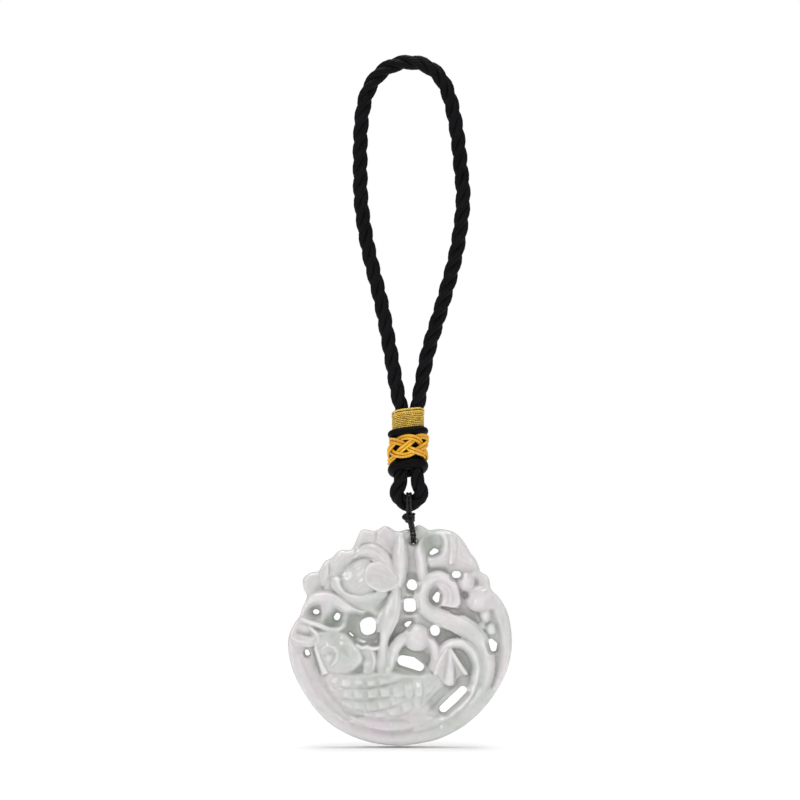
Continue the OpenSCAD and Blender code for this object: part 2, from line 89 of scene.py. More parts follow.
def smooth_line(rows, step, closed=False):
    """A Catmull-Rom curve through rows, whose first columns are a place, sampled about every step"""
    rows = np.array(rows, float)
    n = len(rows)
    line = []
    for i in range(n if closed else n - 1):
        if closed:
            p0, p1, p2, p3 = (rows[(i + k) % n] for k in (-1, 0, 1, 2))
        else:
            p1, p2 = rows[i], rows[i + 1]
            p0 = rows[i - 1] if i else 2 * p1 - p2
            p3 = rows[i + 2] if i + 2 < n else 2 * p2 - p1
        parts = max(1, round(float(np.linalg.norm((p2 - p1)[:2 if rows.shape[1] == 4 else 3])) / step))
        t = np.arange(parts)[:, None] / parts
        line.append(0.5 * (2 * p1 + (p2 - p0) * t + (2 * p0 - 5 * p1 + 4 * p2 - p3) * t ** 2
                           + (3 * p1 - p0 - 3 * p2 + p3) * t ** 3))
    if not closed:
        line.append(rows[-1:])
    return np.concatenate(line)


def add_node(tree, kind, settings=(), **inputs):
    """A node with its properties set and its inputs linked from sockets or given values"""
    node = tree.nodes.new(kind)
    for name, value in dict(settings).items():
        setattr(node, name, value)
    for name, value in inputs.items():
        socket = node.inputs[int(name[1:])] if name[0] == "i" and name[1:].isdigit() else node.inputs[name]
        if isinstance(value, bpy.types.NodeSocket):
            tree.links.new(value, socket)
        else:
            socket.default_value = value
    return node


def laid_cord_tree():
    """Geometry nodes that lay twisted strands, each grooved by its yarns, along a curve"""
    tree = bpy.data.node_groups.new("laid_cord", "GeometryNodeTree")
    tree.interface.new_socket("Geometry", in_out="INPUT", socket_type="NodeSocketGeometry")
    for name, kind in [("Strands", "Int"), ("Strand Radius", "Float"), ("Strand Offset", "Float"),
                       ("Lay Length", "Float"), ("Yarns", "Int"), ("Groove Depth", "Float"),
                       ("Yarn Turns per Metre", "Float"), ("Spacing", "Float"), ("Sides", "Int"),
                       ("Finish", "Material")]:
        tree.interface.new_socket(name, in_out="INPUT", socket_type="NodeSocket" + kind)
    tree.interface.new_socket("Geometry", in_out="OUTPUT", socket_type="NodeSocketGeometry")
    given = tree.nodes.new("NodeGroupInput").outputs

    def math_node(operation, *values):
        """The output of a math node on values or sockets"""
        return add_node(tree, "ShaderNodeMath", {"operation": operation},
                        **{f"i{k}": v for k, v in enumerate(values)}).outputs[0]

    def vector_node(operation, *values, scale=None):
        """The output of a vector math node on values or sockets"""
        node = add_node(tree, "ShaderNodeVectorMath", {"operation": operation},
                        **{f"i{k}": v for k, v in enumerate(values)})
        if scale is not None:
            tree.links.new(scale, node.inputs["Scale"])
        return node.outputs[0]

    # Each strand is a copy of the route, pushed out from it by an angle that turns along the way
    route = add_node(tree, "GeometryNodeResampleCurve", {"mode": "LENGTH"},
                     Curve=given["Geometry"], Length=given["Spacing"])
    copies = add_node(tree, "GeometryNodeDuplicateElements", {"domain": "SPLINE"},
                      Geometry=route.outputs[0], Amount=given["Strands"])
    along = tree.nodes.new("GeometryNodeSplineParameter").outputs["Length"]
    turns = math_node("ADD", math_node("DIVIDE", along, given["Lay Length"]),
                      math_node("DIVIDE", copies.outputs["Duplicate Index"], given["Strands"]))
    angle = math_node("MULTIPLY", turns, math.tau)
    tangent = tree.nodes.new("GeometryNodeInputTangent").outputs[0]
    normal = tree.nodes.new("GeometryNodeInputNormal").outputs[0]
    side = vector_node("CROSS_PRODUCT", tangent, normal)
    thickness = tree.nodes.new("GeometryNodeInputRadius").outputs[0]
    reach = math_node("MULTIPLY", given["Strand Offset"], thickness)
    push = vector_node(
        "ADD",
        vector_node("SCALE", normal, scale=math_node("MULTIPLY", reach, math_node("COSINE", angle))),
        vector_node("SCALE", side, scale=math_node("MULTIPLY", reach, math_node("SINE", angle))))
    marked = add_node(tree, "GeometryNodeStoreNamedAttribute", {"data_type": "FLOAT", "domain": "POINT"},
                      Geometry=copies.outputs[0], Name="run", Value=along)
    laid = add_node(tree, "GeometryNodeSetPosition", Geometry=marked.outputs[0], Offset=push)
    twist = math_node("MULTIPLY", math_node("MULTIPLY", along, given["Yarn Turns per Metre"]), -math.tau)
    twisted = add_node(tree, "GeometryNodeSetCurveTilt", Curve=laid.outputs[0], Tilt=twist)

    # A strand's section is a circle with a groove between each two yarns
    circle = add_node(tree, "GeometryNodeCurvePrimitiveCircle", Resolution=given["Sides"], Radius=1.0)
    place = add_node(tree, "ShaderNodeSeparateXYZ",
                     Vector=tree.nodes.new("GeometryNodeInputPosition").outputs[0])
    around = math_node("ARCTAN2", place.outputs[1], place.outputs[0])
    wave = math_node("ABSOLUTE", math_node(
        "COSINE", math_node("MULTIPLY", around, math_node("MULTIPLY", given["Yarns"], 0.5))))
    groove = math_node("MULTIPLY", math_node("SUBTRACT", 1.0, wave), given["Groove Depth"])
    radius = math_node("MULTIPLY", math_node("SUBTRACT", 1.0, groove), given["Strand Radius"])
    shaped = add_node(tree, "GeometryNodeSetPosition", Geometry=circle.outputs[0],
                      Position=vector_node("SCALE", tree.nodes.new("GeometryNodeInputPosition").outputs[0],
                                           scale=radius))
    spoke = add_node(tree, "GeometryNodeStoreNamedAttribute",
                     {"data_type": "FLOAT_VECTOR", "domain": "POINT"},
                     Geometry=shaped.outputs[0], Name="spoke",
                     Value=tree.nodes.new("GeometryNodeInputPosition").outputs[0])
    skin = add_node(tree, "GeometryNodeCurveToMesh", Curve=twisted.outputs[0],
                    **{"Profile Curve": spoke.outputs[0], "Scale": thickness, "Fill Caps": True})
    real = add_node(tree, "GeometryNodeRealizeInstances", Geometry=skin.outputs[0])
    soft = add_node(tree, "GeometryNodeSetShadeSmooth", Geometry=real.outputs[0])
    dressed = add_node(tree, "GeometryNodeSetMaterial", Geometry=soft.outputs[0], Material=given["Finish"])
    tree.links.new(dressed.outputs[0], tree.nodes.new("NodeGroupOutput").inputs[0])
    return tree


laid_cord = laid_cord_tree()


def lay_cord(name, routes, material, closed=False, **sizes):
    """A piece made of cords laid along routes, each a list of [x, y, z] or [x, y, z, thickness]"""
    curve = bpy.data.curves.new(name + "_route", "CURVE")
    curve.dimensions = "3D"
    for route in routes:
        route = np.array(route, float)
        if route.shape[1] == 3:
            route = np.hstack([route, np.ones((len(route), 1))])
        spline = curve.splines.new("POLY")
        spline.points.add(len(route) - 1)
        spline.points.foreach_set("co", np.hstack([route[:, :3], np.ones((len(route), 1))]).ravel())
        spline.points.foreach_set("radius", route[:, 3].copy())
        spline.use_cyclic_u = closed
    guide = bpy.data.objects.new(name + "_route", curve)
    bpy.context.scene.collection.objects.link(guide)
    layer = guide.modifiers.new("laid_cord", "NODES")
    layer.node_group = laid_cord
    ids = {item.name: item.identifier for item in laid_cord.interface.items_tree
           if item.in_out == "INPUT"}
    for key, value in sizes.items():
        layer[ids[key.replace("_", " ")]] = value
    layer[ids["Finish"]] = material
    mesh = bpy.data.meshes.new_from_object(guide.evaluated_get(bpy.context.evaluated_depsgraph_get()))
    mesh.name = name
    bpy.data.objects.remove(guide)
    piece = bpy.data.objects.new(name, mesh)
    bpy.context.scene.collection.objects.link(piece)
    return piece


def fibre_group():
    """Shader group: fine fibres that run along the yarns of a laid cord"""
    group = bpy.data.node_groups.new("fibres", "ShaderNodeTree")
    for name in ("Fineness", "Stretch", "Detail"):
        group.interface.new_socket(name, in_out="INPUT", socket_type="NodeSocketFloat")
    group.interface.new_socket("Fibre", in_out="OUTPUT", socket_type="NodeSocketFloat")
    group.interface.new_socket("Patch", in_out="OUTPUT", socket_type="NodeSocketFloat")
    given = group.nodes.new("NodeGroupInput").outputs
    spoke = add_node(group, "ShaderNodeAttribute", {"attribute_name": "spoke"})
    run = add_node(group, "ShaderNodeAttribute", {"attribute_name": "run"})
    split = add_node(group, "ShaderNodeSeparateXYZ", Vector=spoke.outputs["Vector"])
    slow = add_node(group, "ShaderNodeMath", {"operation": "MULTIPLY"}, i0=run.outputs["Fac"],
                    i1=given["Stretch"])
    place = add_node(group, "ShaderNodeCombineXYZ", X=split.outputs[0], Y=split.outputs[1], Z=slow.outputs[0])
    fine = add_node(group, "ShaderNodeTexNoise", Vector=place.outputs[0], Scale=given["Fineness"],
                    Detail=given["Detail"], Roughness=0.6)
    coarse = add_node(group, "ShaderNodeTexNoise", Vector=add_node(
        group, "ShaderNodeTexCoord").outputs["Object"], Scale=260.0, Detail=2.0)
    out = group.nodes.new("NodeGroupOutput")
    group.links.new(fine.outputs["Fac"], out.inputs["Fibre"])
    group.links.new(coarse.outputs["Fac"], out.inputs["Patch"])
    return group


fibres = fibre_group()


def ramp(tree, factor, stops):
    """A colour ramp from a list of (position, colour) stops"""
    node = add_node(tree, "ShaderNodeValToRGB", Fac=factor)
    band = node.color_ramp
    band.elements[0].position, band.elements[0].color = stops[0][0], (*stops[0][1], 1)
    band.elements[1].position, band.elements[1].color = stops[-1][0], (*stops[-1][1], 1)
    for position, colour in stops[1:-1]:
        band.elements.new(position).color = (*colour, 1)
    return node.outputs["Color"]


def cord_finish(name, dark, light, rough, bump, fineness, specular, metal=0.0):
    """Cord material: two tones along its fibres, with a fine bump"""
    stretch = 0.06
    material = bpy.data.materials.new(name)
    material.use_nodes = True
    tree = material.node_tree
    shader = tree.nodes["Principled BSDF"]
    group = add_node(tree, "ShaderNodeGroup", {"node_tree": fibres}, Fineness=fineness, Stretch=stretch,
                     Detail=3.0)
    tone = add_node(tree, "ShaderNodeMath", {"operation": "MULTIPLY"}, i0=group.outputs["Fibre"], i1=0.75)
    mixed = add_node(tree, "ShaderNodeMath", {"operation": "MULTIPLY_ADD"}, i0=group.outputs["Patch"],
                     i1=0.35, i2=tone.outputs[0])
    tree.links.new(ramp(tree, mixed.outputs[0], [(0.35, dark), (0.75, light)]), shader.inputs["Base Color"])
    gloss = add_node(tree, "ShaderNodeMapRange", Value=group.outputs["Fibre"],
                     **{"From Min": 0.3, "From Max": 0.7, "To Min": rough - 0.08, "To Max": rough + 0.12})
    tree.links.new(gloss.outputs[0], shader.inputs["Roughness"])
    relief = add_node(tree, "ShaderNodeBump", Strength=0.9, Distance=bump, Height=group.outputs["Fibre"])
    tree.links.new(relief.outputs[0], shader.inputs["Normal"])
    shader.inputs["Metallic"].default_value = metal
    shader.inputs["Specular IOR Level"].default_value = specular
    return material


black_rope = cord_finish("black_rope_satin", (0.0006, 0.0006, 0.0007), (0.008, 0.0076, 0.0095), 0.32,
                         0.00006, 9000.0, specular=0.07)
rope_lay = 13.4 * MM
strand_r = 1.1 * MM
rope_sizes = {"Strands": 3, "Strand_Radius": strand_r, "Strand_Offset": rope_r - strand_r,
              "Lay_Length": rope_lay, "Yarns": 9, "Groove_Depth": 0.16, "Yarn_Turns_per_Metre": 90.0,
              "Spacing": 0.45 * MM, "Sides": 36}
loop_line = smooth_line(loop_route, 1 * MM)
loop_thickness = np.interp(loop_line[:, 2], [band_top, band_top + 1.5 * MM], [squeezed_r / rope_r, 1])
rope_loop = lay_cord("rope_loop_laid", [np.column_stack([loop_line, loop_thickness])], black_rope,
                     **rope_sizes)
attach(rope_loop, "cord")
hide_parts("rope_loop")

# Rope eye
# The same rope comes out below the band and turns round in a small tight eye that carries the
# thread. Its two sides press together above and leave a narrow slit.
eye_bend_r = 3.0 * MM
eye_bottom = -108.5 * MM
eye_z = eye_bottom + eye_bend_r
eye_route = [
    (-0.0018, 0, -0.0935), (-0.0018, 0, -0.0975), (-0.00182, 0, -0.1005), (-0.0021, 0, -0.1025),
    (-0.0026, 0, -0.104), (-0.00295, 0, -0.1052)]
eye_route += [(-eye_bend_r * math.cos(a), 0, eye_z - eye_bend_r * math.sin(a))
              for a in np.radians(np.arange(10, 90, 20))]
eye_route += [(0, 0, eye_bottom)] + [(-x, y, z) for x, y, z in reversed(eye_route)]
eye_line = smooth_line(eye_route, 0.8 * MM)
eye_thickness = np.interp(eye_line[:, 2], [-0.104, -0.1005], [1, squeezed_r / rope_r])
rope_eye = lay_cord("rope_eye_laid", [np.column_stack([eye_line, eye_thickness])], black_rope, **rope_sizes)
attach(rope_eye, "cord")
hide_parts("rope_eye")

# Gold whipping
# Two thick turns and then eight finer turns of two-ply gold thread, wound tightly round both legs
# of the rope to hold them together. The right side sits higher and the front bows up.
band_levels = [-101 * MM, -98 * MM, -92 * MM, -91 * MM, -89.5 * MM, -84 * MM]
band_bows = [0.9 * MM, 1.3 * MM, 0.8 * MM, 0.55 * MM, 0.4 * MM, 1.0 * MM]
band_shift = -0.25 * MM


def round_band(share, z, reach):
    """Places round both rope legs: share of the way round from the back, clockwise seen from above"""
    share, z, reach = np.broadcast_arrays(np.asarray(share, float) % 1, z, reach)
    arc = math.pi * reach
    s = share * (2 * arc + 4 * leg_x)
    right = (s >= leg_x) & (s < leg_x + arc)
    front = (s >= leg_x + arc) & (s < 3 * leg_x + arc)
    left = (s >= 3 * leg_x + arc) & (s < 3 * leg_x + 2 * arc)
    a = math.pi / 2 - (s - leg_x) / reach
    b = -math.pi / 2 - (s - 3 * leg_x - arc) / reach
    behind = np.where(share < 0.5, s, s - 2 * arc - 4 * leg_x)
    x = np.select([right, front, left],
                  [leg_x + reach * np.cos(a), 2 * leg_x + arc - s, -leg_x + reach * np.cos(b)], behind)
    y = np.select([right, front, left], [reach * np.sin(a), -reach, reach * np.sin(b)], reach)
    slope = np.interp(z, [-99.5 * MM, -85 * MM], [math.tan(math.radians(8)), math.tan(math.radians(4.5))])
    bow = np.interp(z, band_levels, band_bows)
    return np.column_stack([x + band_shift, y, z + x * slope - bow * y / reach])


gold = cord_finish("gold_thread_foil", (0.5, 0.24, 0.02), (1.0, 0.8, 0.18), 0.24, 0.00002, 3000.0,
                   metal=0.6, specular=0.8)
thick_r, fine_r = 0.3 * MM, 0.21 * MM
thick_turns, fine_turns = 2, 8
turn_steps = 60
thick_share = np.arange(thick_turns * turn_steps + 1) / turn_steps
fine_share = np.arange(fine_turns * turn_steps + 1) / turn_steps
fine_height = 3.65 * MM
thick_z = band_top - thick_r - thick_share * 2 * thick_r
fine_z = band_top - 4 * thick_r - fine_r - fine_share * (fine_height - 2 * fine_r) / fine_turns
gold_reach = squeezed_r + 0.32 * MM
whipping = lay_cord(
    "gold_whipping_turns",
    [np.column_stack([round_band(thick_share, thick_z, gold_reach), np.full(len(thick_z), thick_r / fine_r)]),
     round_band(fine_share, fine_z, gold_reach)],
    gold, Strands=2, Strand_Radius=0.56 * fine_r, Strand_Offset=0.46 * fine_r, Lay_Length=1.0 * MM, Yarns=5,
    Groove_Depth=0.2, Yarn_Turns_per_Metre=500.0, Spacing=0.14 * MM, Sides=10)
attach(whipping, "cord")
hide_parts("gold_whipping")

# Upper collar
# One turn of thick black satin cord rolled round the legs under the whipping. It is the top edge
# of the black sleeve that the yellow cords are woven over.
black_satin = cord_finish("black_satin_cord", (0.0008, 0.0008, 0.001), (0.005, 0.0047, 0.006), 0.42, 0.00003,
                          12000.0, specular=0.06)
ring_share = np.arange(96) / 96
collar_reach = 3.3 * MM
upper_r = 0.93 * MM
upper_z = -90.72 * MM
upper_collar = lay_cord(
    "upper_collar_roll", [round_band(ring_share, upper_z, collar_reach - upper_r)], black_satin, closed=True,
    Strands=1, Strand_Radius=upper_r, Strand_Offset=0.0, Lay_Length=1.0, Yarns=14, Groove_Depth=0.03,
    Yarn_Turns_per_Metre=0.0, Spacing=0.3 * MM, Sides=42)
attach(upper_collar, "cord")
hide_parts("upper_collar")

# Woven band
# Yellow satin cord plaited round the black sleeve as a doubled Turk's head: four leads and five
# bights, each lead two cords side by side, over and under by turns.
yellow_satin = cord_finish("yellow_satin_cord", (0.5, 0.13, 0.001), (1.0, 0.64, 0.01), 0.26, 0.00003,
                           7000.0, specular=0.7)
leads, bights = 4, 5
weave_z = -94.95 * MM
cord_r = 0.36 * MM
cord_gap = 0.8 * MM
plait_rise = 2.45 * MM
plait_lift = 0.42 * MM
plait_reach = 2.72 * MM
plait_steps = 420
plait_start = 0.6
way = np.arange(plait_steps) / plait_steps
swing = math.tau * bights * way + plait_start
front_length = math.tau * plait_reach + 4 * leg_x
rise_slope = plait_rise * bights * math.tau * np.cos(swing) / (leads * front_length)
turned = 1 / np.hypot(1, rise_slope)
plait = []
for half in (-0.5, 0.5):
    share = leads * way - half * cord_gap * rise_slope * turned / front_length
    z = weave_z + plait_rise * np.sin(swing) + half * cord_gap * turned
    plait.append(round_band(share, z, plait_reach - plait_lift * np.cos(3 * swing)))
weave = lay_cord("woven_band_cords", plait, yellow_satin, closed=True, Strands=1, Strand_Radius=cord_r,
                 Strand_Offset=0.0, Lay_Length=1.0, Yarns=8, Groove_Depth=0.06, Yarn_Turns_per_Metre=0.0,
                 Spacing=0.25 * MM, Sides=24)
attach(weave, "cord")
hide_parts("woven_band")

# Sleeve
# The black sleeve under the yellow cords, which shows through the gaps of the plait. It runs up
# inside the gold whipping, where it fills the gap between the rope's legs.
sleeve_r = 0.55 * MM
sleeve_turns = 14
sleeve_steps = 48
sleeve_share = np.arange(sleeve_turns * sleeve_steps + 1) / sleeve_steps
sleeve_z = np.linspace(-85.8 * MM, -99.2 * MM, len(sleeve_share))
sleeve_reach = np.interp(sleeve_z, [-92 * MM, -90.2 * MM], [1.85 * MM, 1.15 * MM])
sleeve = lay_cord("band_sleeve", [round_band(sleeve_share, sleeve_z, sleeve_reach)], black_satin, Strands=1,
                  Strand_Radius=sleeve_r, Strand_Offset=0.0, Lay_Length=1.0, Yarns=6, Groove_Depth=0.05,
                  Yarn_Turns_per_Metre=0.0, Spacing=0.4 * MM, Sides=16)
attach(sleeve, "cord")

# Lower collar
# The thicker bottom edge of the black sleeve, rolled round the rope just above its eye.
lower_r = 1.33 * MM
lower_z = -99.5 * MM
lower_collar = lay_cord(
    "lower_collar_roll", [round_band(ring_share, lower_z, collar_reach - lower_r)], black_satin, closed=True,
    Strands=1, Strand_Radius=lower_r, Strand_Offset=0.0, Lay_Length=1.0, Yarns=18, Groove_Depth=0.03,
    Yarn_Turns_per_Metre=0.0, Spacing=0.3 * MM, Sides=54)
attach(lower_collar, "cord")
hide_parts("lower_collar")

# Tie thread
# Black waxed two-ply thread, doubled. It goes round the foot of the rope eye, is knotted, and
# straddles the jade's rim in a loop through the drilled hole.
waxed = cord_finish("black_waxed_thread", (0.001, 0.001, 0.0012), (0.01, 0.01, 0.011), 0.3, 0.00003, 9000.0,
                    specular=0.3)
thread_r = 0.375 * MM
ring_r = 2.625 * MM
lower_loop = [
    (0.1, 0, -112), (0.3, -1.7, -112.4), (0.5, -3, -113.3), (0.75, -3.4, -114.5), (1, -3.4, -115.8),
    (1.05, -3.5, -116.8), (1.05, -3.4, -117.7), (1.05, -2.8, -118.1), (1.05, -1.9, -117.78),
    (1.05, 0, -117.7), (1.05, 1.9, -117.7), (1.05, 2.85, -117.4), (1.05, 3.25, -116.7),
    (1, 3.33, -115.8), (0.75, 3.33, -114.5), (0.5, 3, -113.3), (0.3, 1.7, -112.4)]
loop_path = smooth_line(np.array(lower_loop) * MM, 0.3 * MM, closed=True)
turn = np.radians(np.arange(0, 360, 6))
thread_routes = []
for side in (-thread_r, thread_r):
    thread_routes.append(np.column_stack([
        np.full(len(turn), side), ring_r * np.cos(turn), eye_bottom + ring_r * np.sin(turn)]))
    thread_routes.append(loop_path + np.array([side, 0, 0]))
ply = {"Strands": 2, "Strand_Radius": 0.68 * thread_r, "Strand_Offset": 0.38 * thread_r,
       "Lay_Length": 2.1 * MM, "Yarns": 5, "Groove_Depth": 0.08, "Yarn_Turns_per_Metre": 200.0,
       "Spacing": 0.2 * MM, "Sides": 15}
thread = lay_cord("tie_thread_loops", thread_routes, waxed, closed=True, **ply)
knot_turns = 3.7
knot_top, knot_height = -111, 1.9
knot_way = np.linspace(0, 1, 150)
knot_turn = math.tau * knot_turns * knot_way
knot_reach = 1.2 - 0.3 * knot_way
knot_wrap = MM * np.column_stack([
    0.05 + 0.3 * knot_way ** 2 + knot_reach * np.cos(knot_turn), 0.85 * knot_reach * np.sin(knot_turn),
    knot_top - knot_height * knot_way])
knot_hump = smooth_line(np.array([
    (0.7, -0.9, -112.6), (-0.3, -1.2, -112.5), (-1.1, -0.7, -112.2), (-1.4, 0, -111.8), (-1, 0.7, -111.3),
    (0.2, 1, -111.6)]) * MM, 0.2 * MM)
knot = lay_cord("tie_thread_knot", [knot_wrap, knot_hump], waxed, **ply)
for piece in (thread, knot):
    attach(piece, "tie")
    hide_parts("tie_thread")

# Jade disc
# One slice of translucent jadeite, 56 mm across, carved in relief on its front and sawn through
# in fifteen places, then polished all over. The thread goes through the hole at its top. Its front
# is a chart of levels, in millimetres before the plane that the stone hangs in.
disc_centre = (-2.25, -141.5)
disc_back = 2.6
chart_step = 0.2
chart = np.arange(-29, 29 + chart_step / 2, chart_step)
gx, gz = np.meshgrid(chart, chart, indexing="ij")
wide_reach = 6


def near(line, margin, closed=False):
    """Each place's distance from a line, its side of it, and the line's other columns at its nearest point"""
    far = np.full(gx.shape, float(margin))
    side = np.zeros(gx.shape)
    values = np.zeros(gx.shape + (line.shape[1] - 2,))
    for a, b in zip(line, np.roll(line, -1, axis=0) if closed else line[1:]):
        low = np.searchsorted(chart, np.minimum(a[:2], b[:2]) - margin)
        high = np.searchsorted(chart, np.maximum(a[:2], b[:2]) + margin)
        spot = (slice(low[0], high[0]), slice(low[1], high[1]))
        x, z = gx[spot] - a[0], gz[spot] - a[1]
        rx, rz = b[0] - a[0], b[1] - a[1]
        t = np.clip((x * rx + z * rz) / max(rx ** 2 + rz ** 2, 1e-9), 0, 1)
        d = np.hypot(x - t * rx, z - t * rz)
        closer = d < far[spot]
        far[spot] = np.where(closer, d, far[spot])
        side[spot] = np.where(closer, np.sign(rx * z - rz * x), side[spot])
        values[spot] = np.where(closer[..., None], a[2:] + t[..., None] * (b - a)[2:], values[spot])
    return far, side, values


def enclosed(line):
    """Places of the chart inside a closed line"""
    hit = np.zeros(gx.shape, bool)
    for a, b in zip(line, np.roll(line, -1, axis=0)):
        rows = slice(*np.searchsorted(chart, sorted((a[1], b[1]))))
        if rows.start < rows.stop:
            hit[:, rows] ^= gx[:, rows] < a[0] + (gz[:, rows] - a[1]) * (b[0] - a[0]) / (b[1] - a[1])
    return hit


# Outline of the stone, once round from the top
outline = smooth_line([
    (0, 26.1), (-1, 26.1), (-2, 26.7), (-3.7, 27.5), (-5.5, 26.5), (-6.5, 26.2), (-9, 26.6), (-10, 26),
    (-10.9, 24), (-12.2, 21.5), (-14.4, 21.5), (-15.7, 20.9), (-17, 19.5), (-18.8, 18.6), (-19.8, 17),
    (-20.4, 16.1), (-22.5, 15.7), (-24.1, 14.5), (-24.3, 13.5), (-23.9, 11.5), (-23.2, 9.9), (-24.4, 7),
    (-25.2, 4.7), (-26.3, 3.3), (-27.4, 1.2), (-27.9, -1), (-27.9, -4), (-27, -8), (-25.5, -11.5),
    (-23, -15.7), (-20.5, -19), (-17, -22.2), (-13, -24.5), (-9, -26), (-5, -26.9), (0, -27.3),
    (5.5, -26.6), (10, -25.5), (14, -23.6), (17.5, -21.3), (20.5, -18.5), (23.3, -15), (25.5, -11.3),
    (27, -7.7), (27.85, -4), (27.95, -2), (27.7, 2), (26.8, 6), (25, 9.3), (23, 11.3), (22.6, 12),
    (22.3, 14), (21.8, 15), (20, 16.1), (19.8, 17), (19, 19), (17.6, 20.8), (16.3, 23), (14.8, 24.9),
    (13, 26.1), (10, 26.7), (7.3, 26.4), (6, 27.2), (4.8, 27.7), (4, 27.5), (3.3, 26.6), (1.5, 26.6)],
    0.7, closed=True)
edge = near(outline, wide_reach, closed=True)[0]
edge = np.where(enclosed(outline), edge, -edge)
ground_level = 1.6
rim_rise, rim_width = 0.7, 3.5
relief = ground_level + rim_rise * np.exp(-(edge / rim_width) ** 2)

# Holes right through: level of the stone at their edge, and corner circles (x, z, radius)
thread_hole = [(3.3, 23.8, 0.87)]
holes = [
    (0.7, [(7.95, 20.7, 0.55), (8.7, 21.2, 0.75), (9.1, 21.2, 0.5)]),
    (0.9, [(13.9, 15.3, 0.9), (14.4, 15.3, 0.85)]),
    (0.4, [(2.95, 13.0, 1.1), (2.75, 12.6, 1.05), (3.2, 12.5, 1.15)]),
    (0.4, [(1.85, 8.4, 0.9), (3, 8.4, 0.9), (3.05, 7, 1), (1.95, 7, 1)]),
    (0.3, [(1.75, 2.75, 0.6), (2.2, 3.15, 0.5), (2.65, 3.4, 0.25)]),
    (0.5, [(8.7, 1.5, 1.15), (8.8, 1.1, 1.15)]),
    (1.0, [(8.95, 9.4, 0.8), (9.4, 10.4, 0.55), (9.2, 8.9, 0.6)]),
    (0.7, [(22.8, -1.4, 0.65), (23.5, -2.2, 0.8), (23.4, -3.2, 0.75)]),
    (0.2, [(-8.4, 2.7, 1.6), (-7.6, 3, 1.6), (-7.6, 1.9, 1.55), (-8.2, 1.8, 1.65)]),
    (1.0, [(-21.15, 6, 0.62), (-20.8, 6, 0.62)]),
    (0.8, [(-15.8, 4.6, 0.75), (-15.6, 5.1, 0.65)]),
    (0.9, [(-23.3, -3.9, 0.5), (-23.15, -4.4, 0.58)]),
    (0.2, [(0.7, -6.2, 1.3), (2.9, -6.8, 1.5), (4.9, -7.8, 1.05)]),
    (0.6, [(10.9, -18.2, 1), (13.4, -16, 0.98), (15.7, -13.6, 1)]),
    (1.2, [(-12.6, 0.7, 0.22), (-11.8, 0, 0.22)])]


def hole_gap(corners):
    """Distance of each place from the wall of a hole, which is negative in its opening"""
    line = np.array(corners, float)
    if len(line) == 1:
        return np.hypot(gx - line[0, 0], gz - line[0, 1]) - line[0, 2]
    far, _, radius = near(line, wide_reach, closed=len(line) > 2)
    if len(line) > 2:
        far = np.where(enclosed(line), 0, far)
    return far - np.where(far < wide_reach, radius[..., 0], 1)


def raise_to(form, soft):
    """Bring the relief up to a form, with a fillet where they meet"""
    step_up = np.clip(0.5 + (form - relief) / (2 * soft), 0, 1)
    relief[:] = relief + (form - relief) * step_up + soft * step_up * (1 - step_up)


def panel(rows, belly=0.0, reach=2.0, soft=0.25, lip=0.0, crisp=False):
    """A surface with its edge on (x, z, level) points, whose middle swells by its belly, or sinks"""
    line = np.array(rows, float) if crisp else smooth_line(rows, 0.6, closed=True)
    far = near(line[:, :2], wide_reach, closed=True)[0]
    gap = np.where(enclosed(line), far, -far)
    low = np.searchsorted(chart, line[:, :2].min(axis=0) - 1)
    high = np.searchsorted(chart, line[:, :2].max(axis=0) + 1)
    spot = (slice(low[0], high[0]), slice(low[1], high[1]))
    level, weight = 0, 0
    for x, z, edge_level in line:
        pull = ((gx[spot] - x) ** 2 + (gz[spot] - z) ** 2 + 0.05) ** -1.5
        level = level + pull * edge_level
        weight = weight + pull
    gap = gap[spot]
    form = level / weight + belly * (1 - np.exp(-(np.maximum(gap, 0) / reach) ** 2))
    form = form + lip * np.exp(-((gap - 0.4) / 0.35) ** 2)
    share = np.clip(0.5 + gap / (2 * soft), 0, 1)
    relief[spot] += (form - relief[spot]) * share ** 2 * (3 - 2 * share)


def roll(rows, lines=(), foot=1.2, power=1.0, soft=0.3, lean=0.0):
    """A rounded band along rows of (x, z, half width, level), with its crest leaning to one side"""
    line = smooth_line(rows, 0.6)
    far, side, values = near(line, max(row[2] for row in rows) + 0.3)
    width, level = np.maximum(values[..., 0], 1e-3), values[..., 1]
    share = side * far / width
    slope = np.abs(share - lean) / (1 - lean * np.sign(share - lean))
    form = level - foot * np.clip(slope, 0, 1) ** (2 * power)
    for place, depth in lines:
        form = form - 1.7 * depth * np.exp(-((side * far - place * width) / 0.2) ** 2)
    raise_to(np.where(far < width, form, -9), soft)


def dome(x, z, w, h, turn, level, drop=1.5, soft=0.3):
    """A rounded form on an ellipse turned by some degrees"""
    c, s = math.cos(math.radians(turn)), math.sin(math.radians(turn))
    u = ((gx - x) * c + (gz - z) * s) / w
    v = ((gz - z) * c - (gx - x) * s) / h
    share = u ** 2 + v ** 2
    raise_to(np.where(share < 1, level - drop * share, -9), soft)


def sink(level, wide, path, power=2.0):
    """Grind the relief down towards a level along a path"""
    line = smooth_line(path, 0.6) if len(path) > 1 else np.array([path[0], path[0]], float)
    far = near(line, wide_reach)[0]
    share = np.exp(-(far / wide) ** power) * (far < wide_reach)
    relief[:] -= np.maximum(relief - level, 0) * share


def scribe(depth, width, *paths):
    """Lines cut with a fine wheel, or left standing where the depth is negative; their ends taper out"""
    for path in paths:
        line = smooth_line(path, 0.5)
        t = np.linspace(0, 1, len(line))
        line = np.column_stack([line, np.clip(8 * np.minimum(t, 1 - t), 0.15, 1)])
        far, _, strength = near(line, 3 * width)
        relief[:] -= np.where(far < 3 * width, depth * strength[..., 0] * np.exp(-(far / width) ** 2), 0)


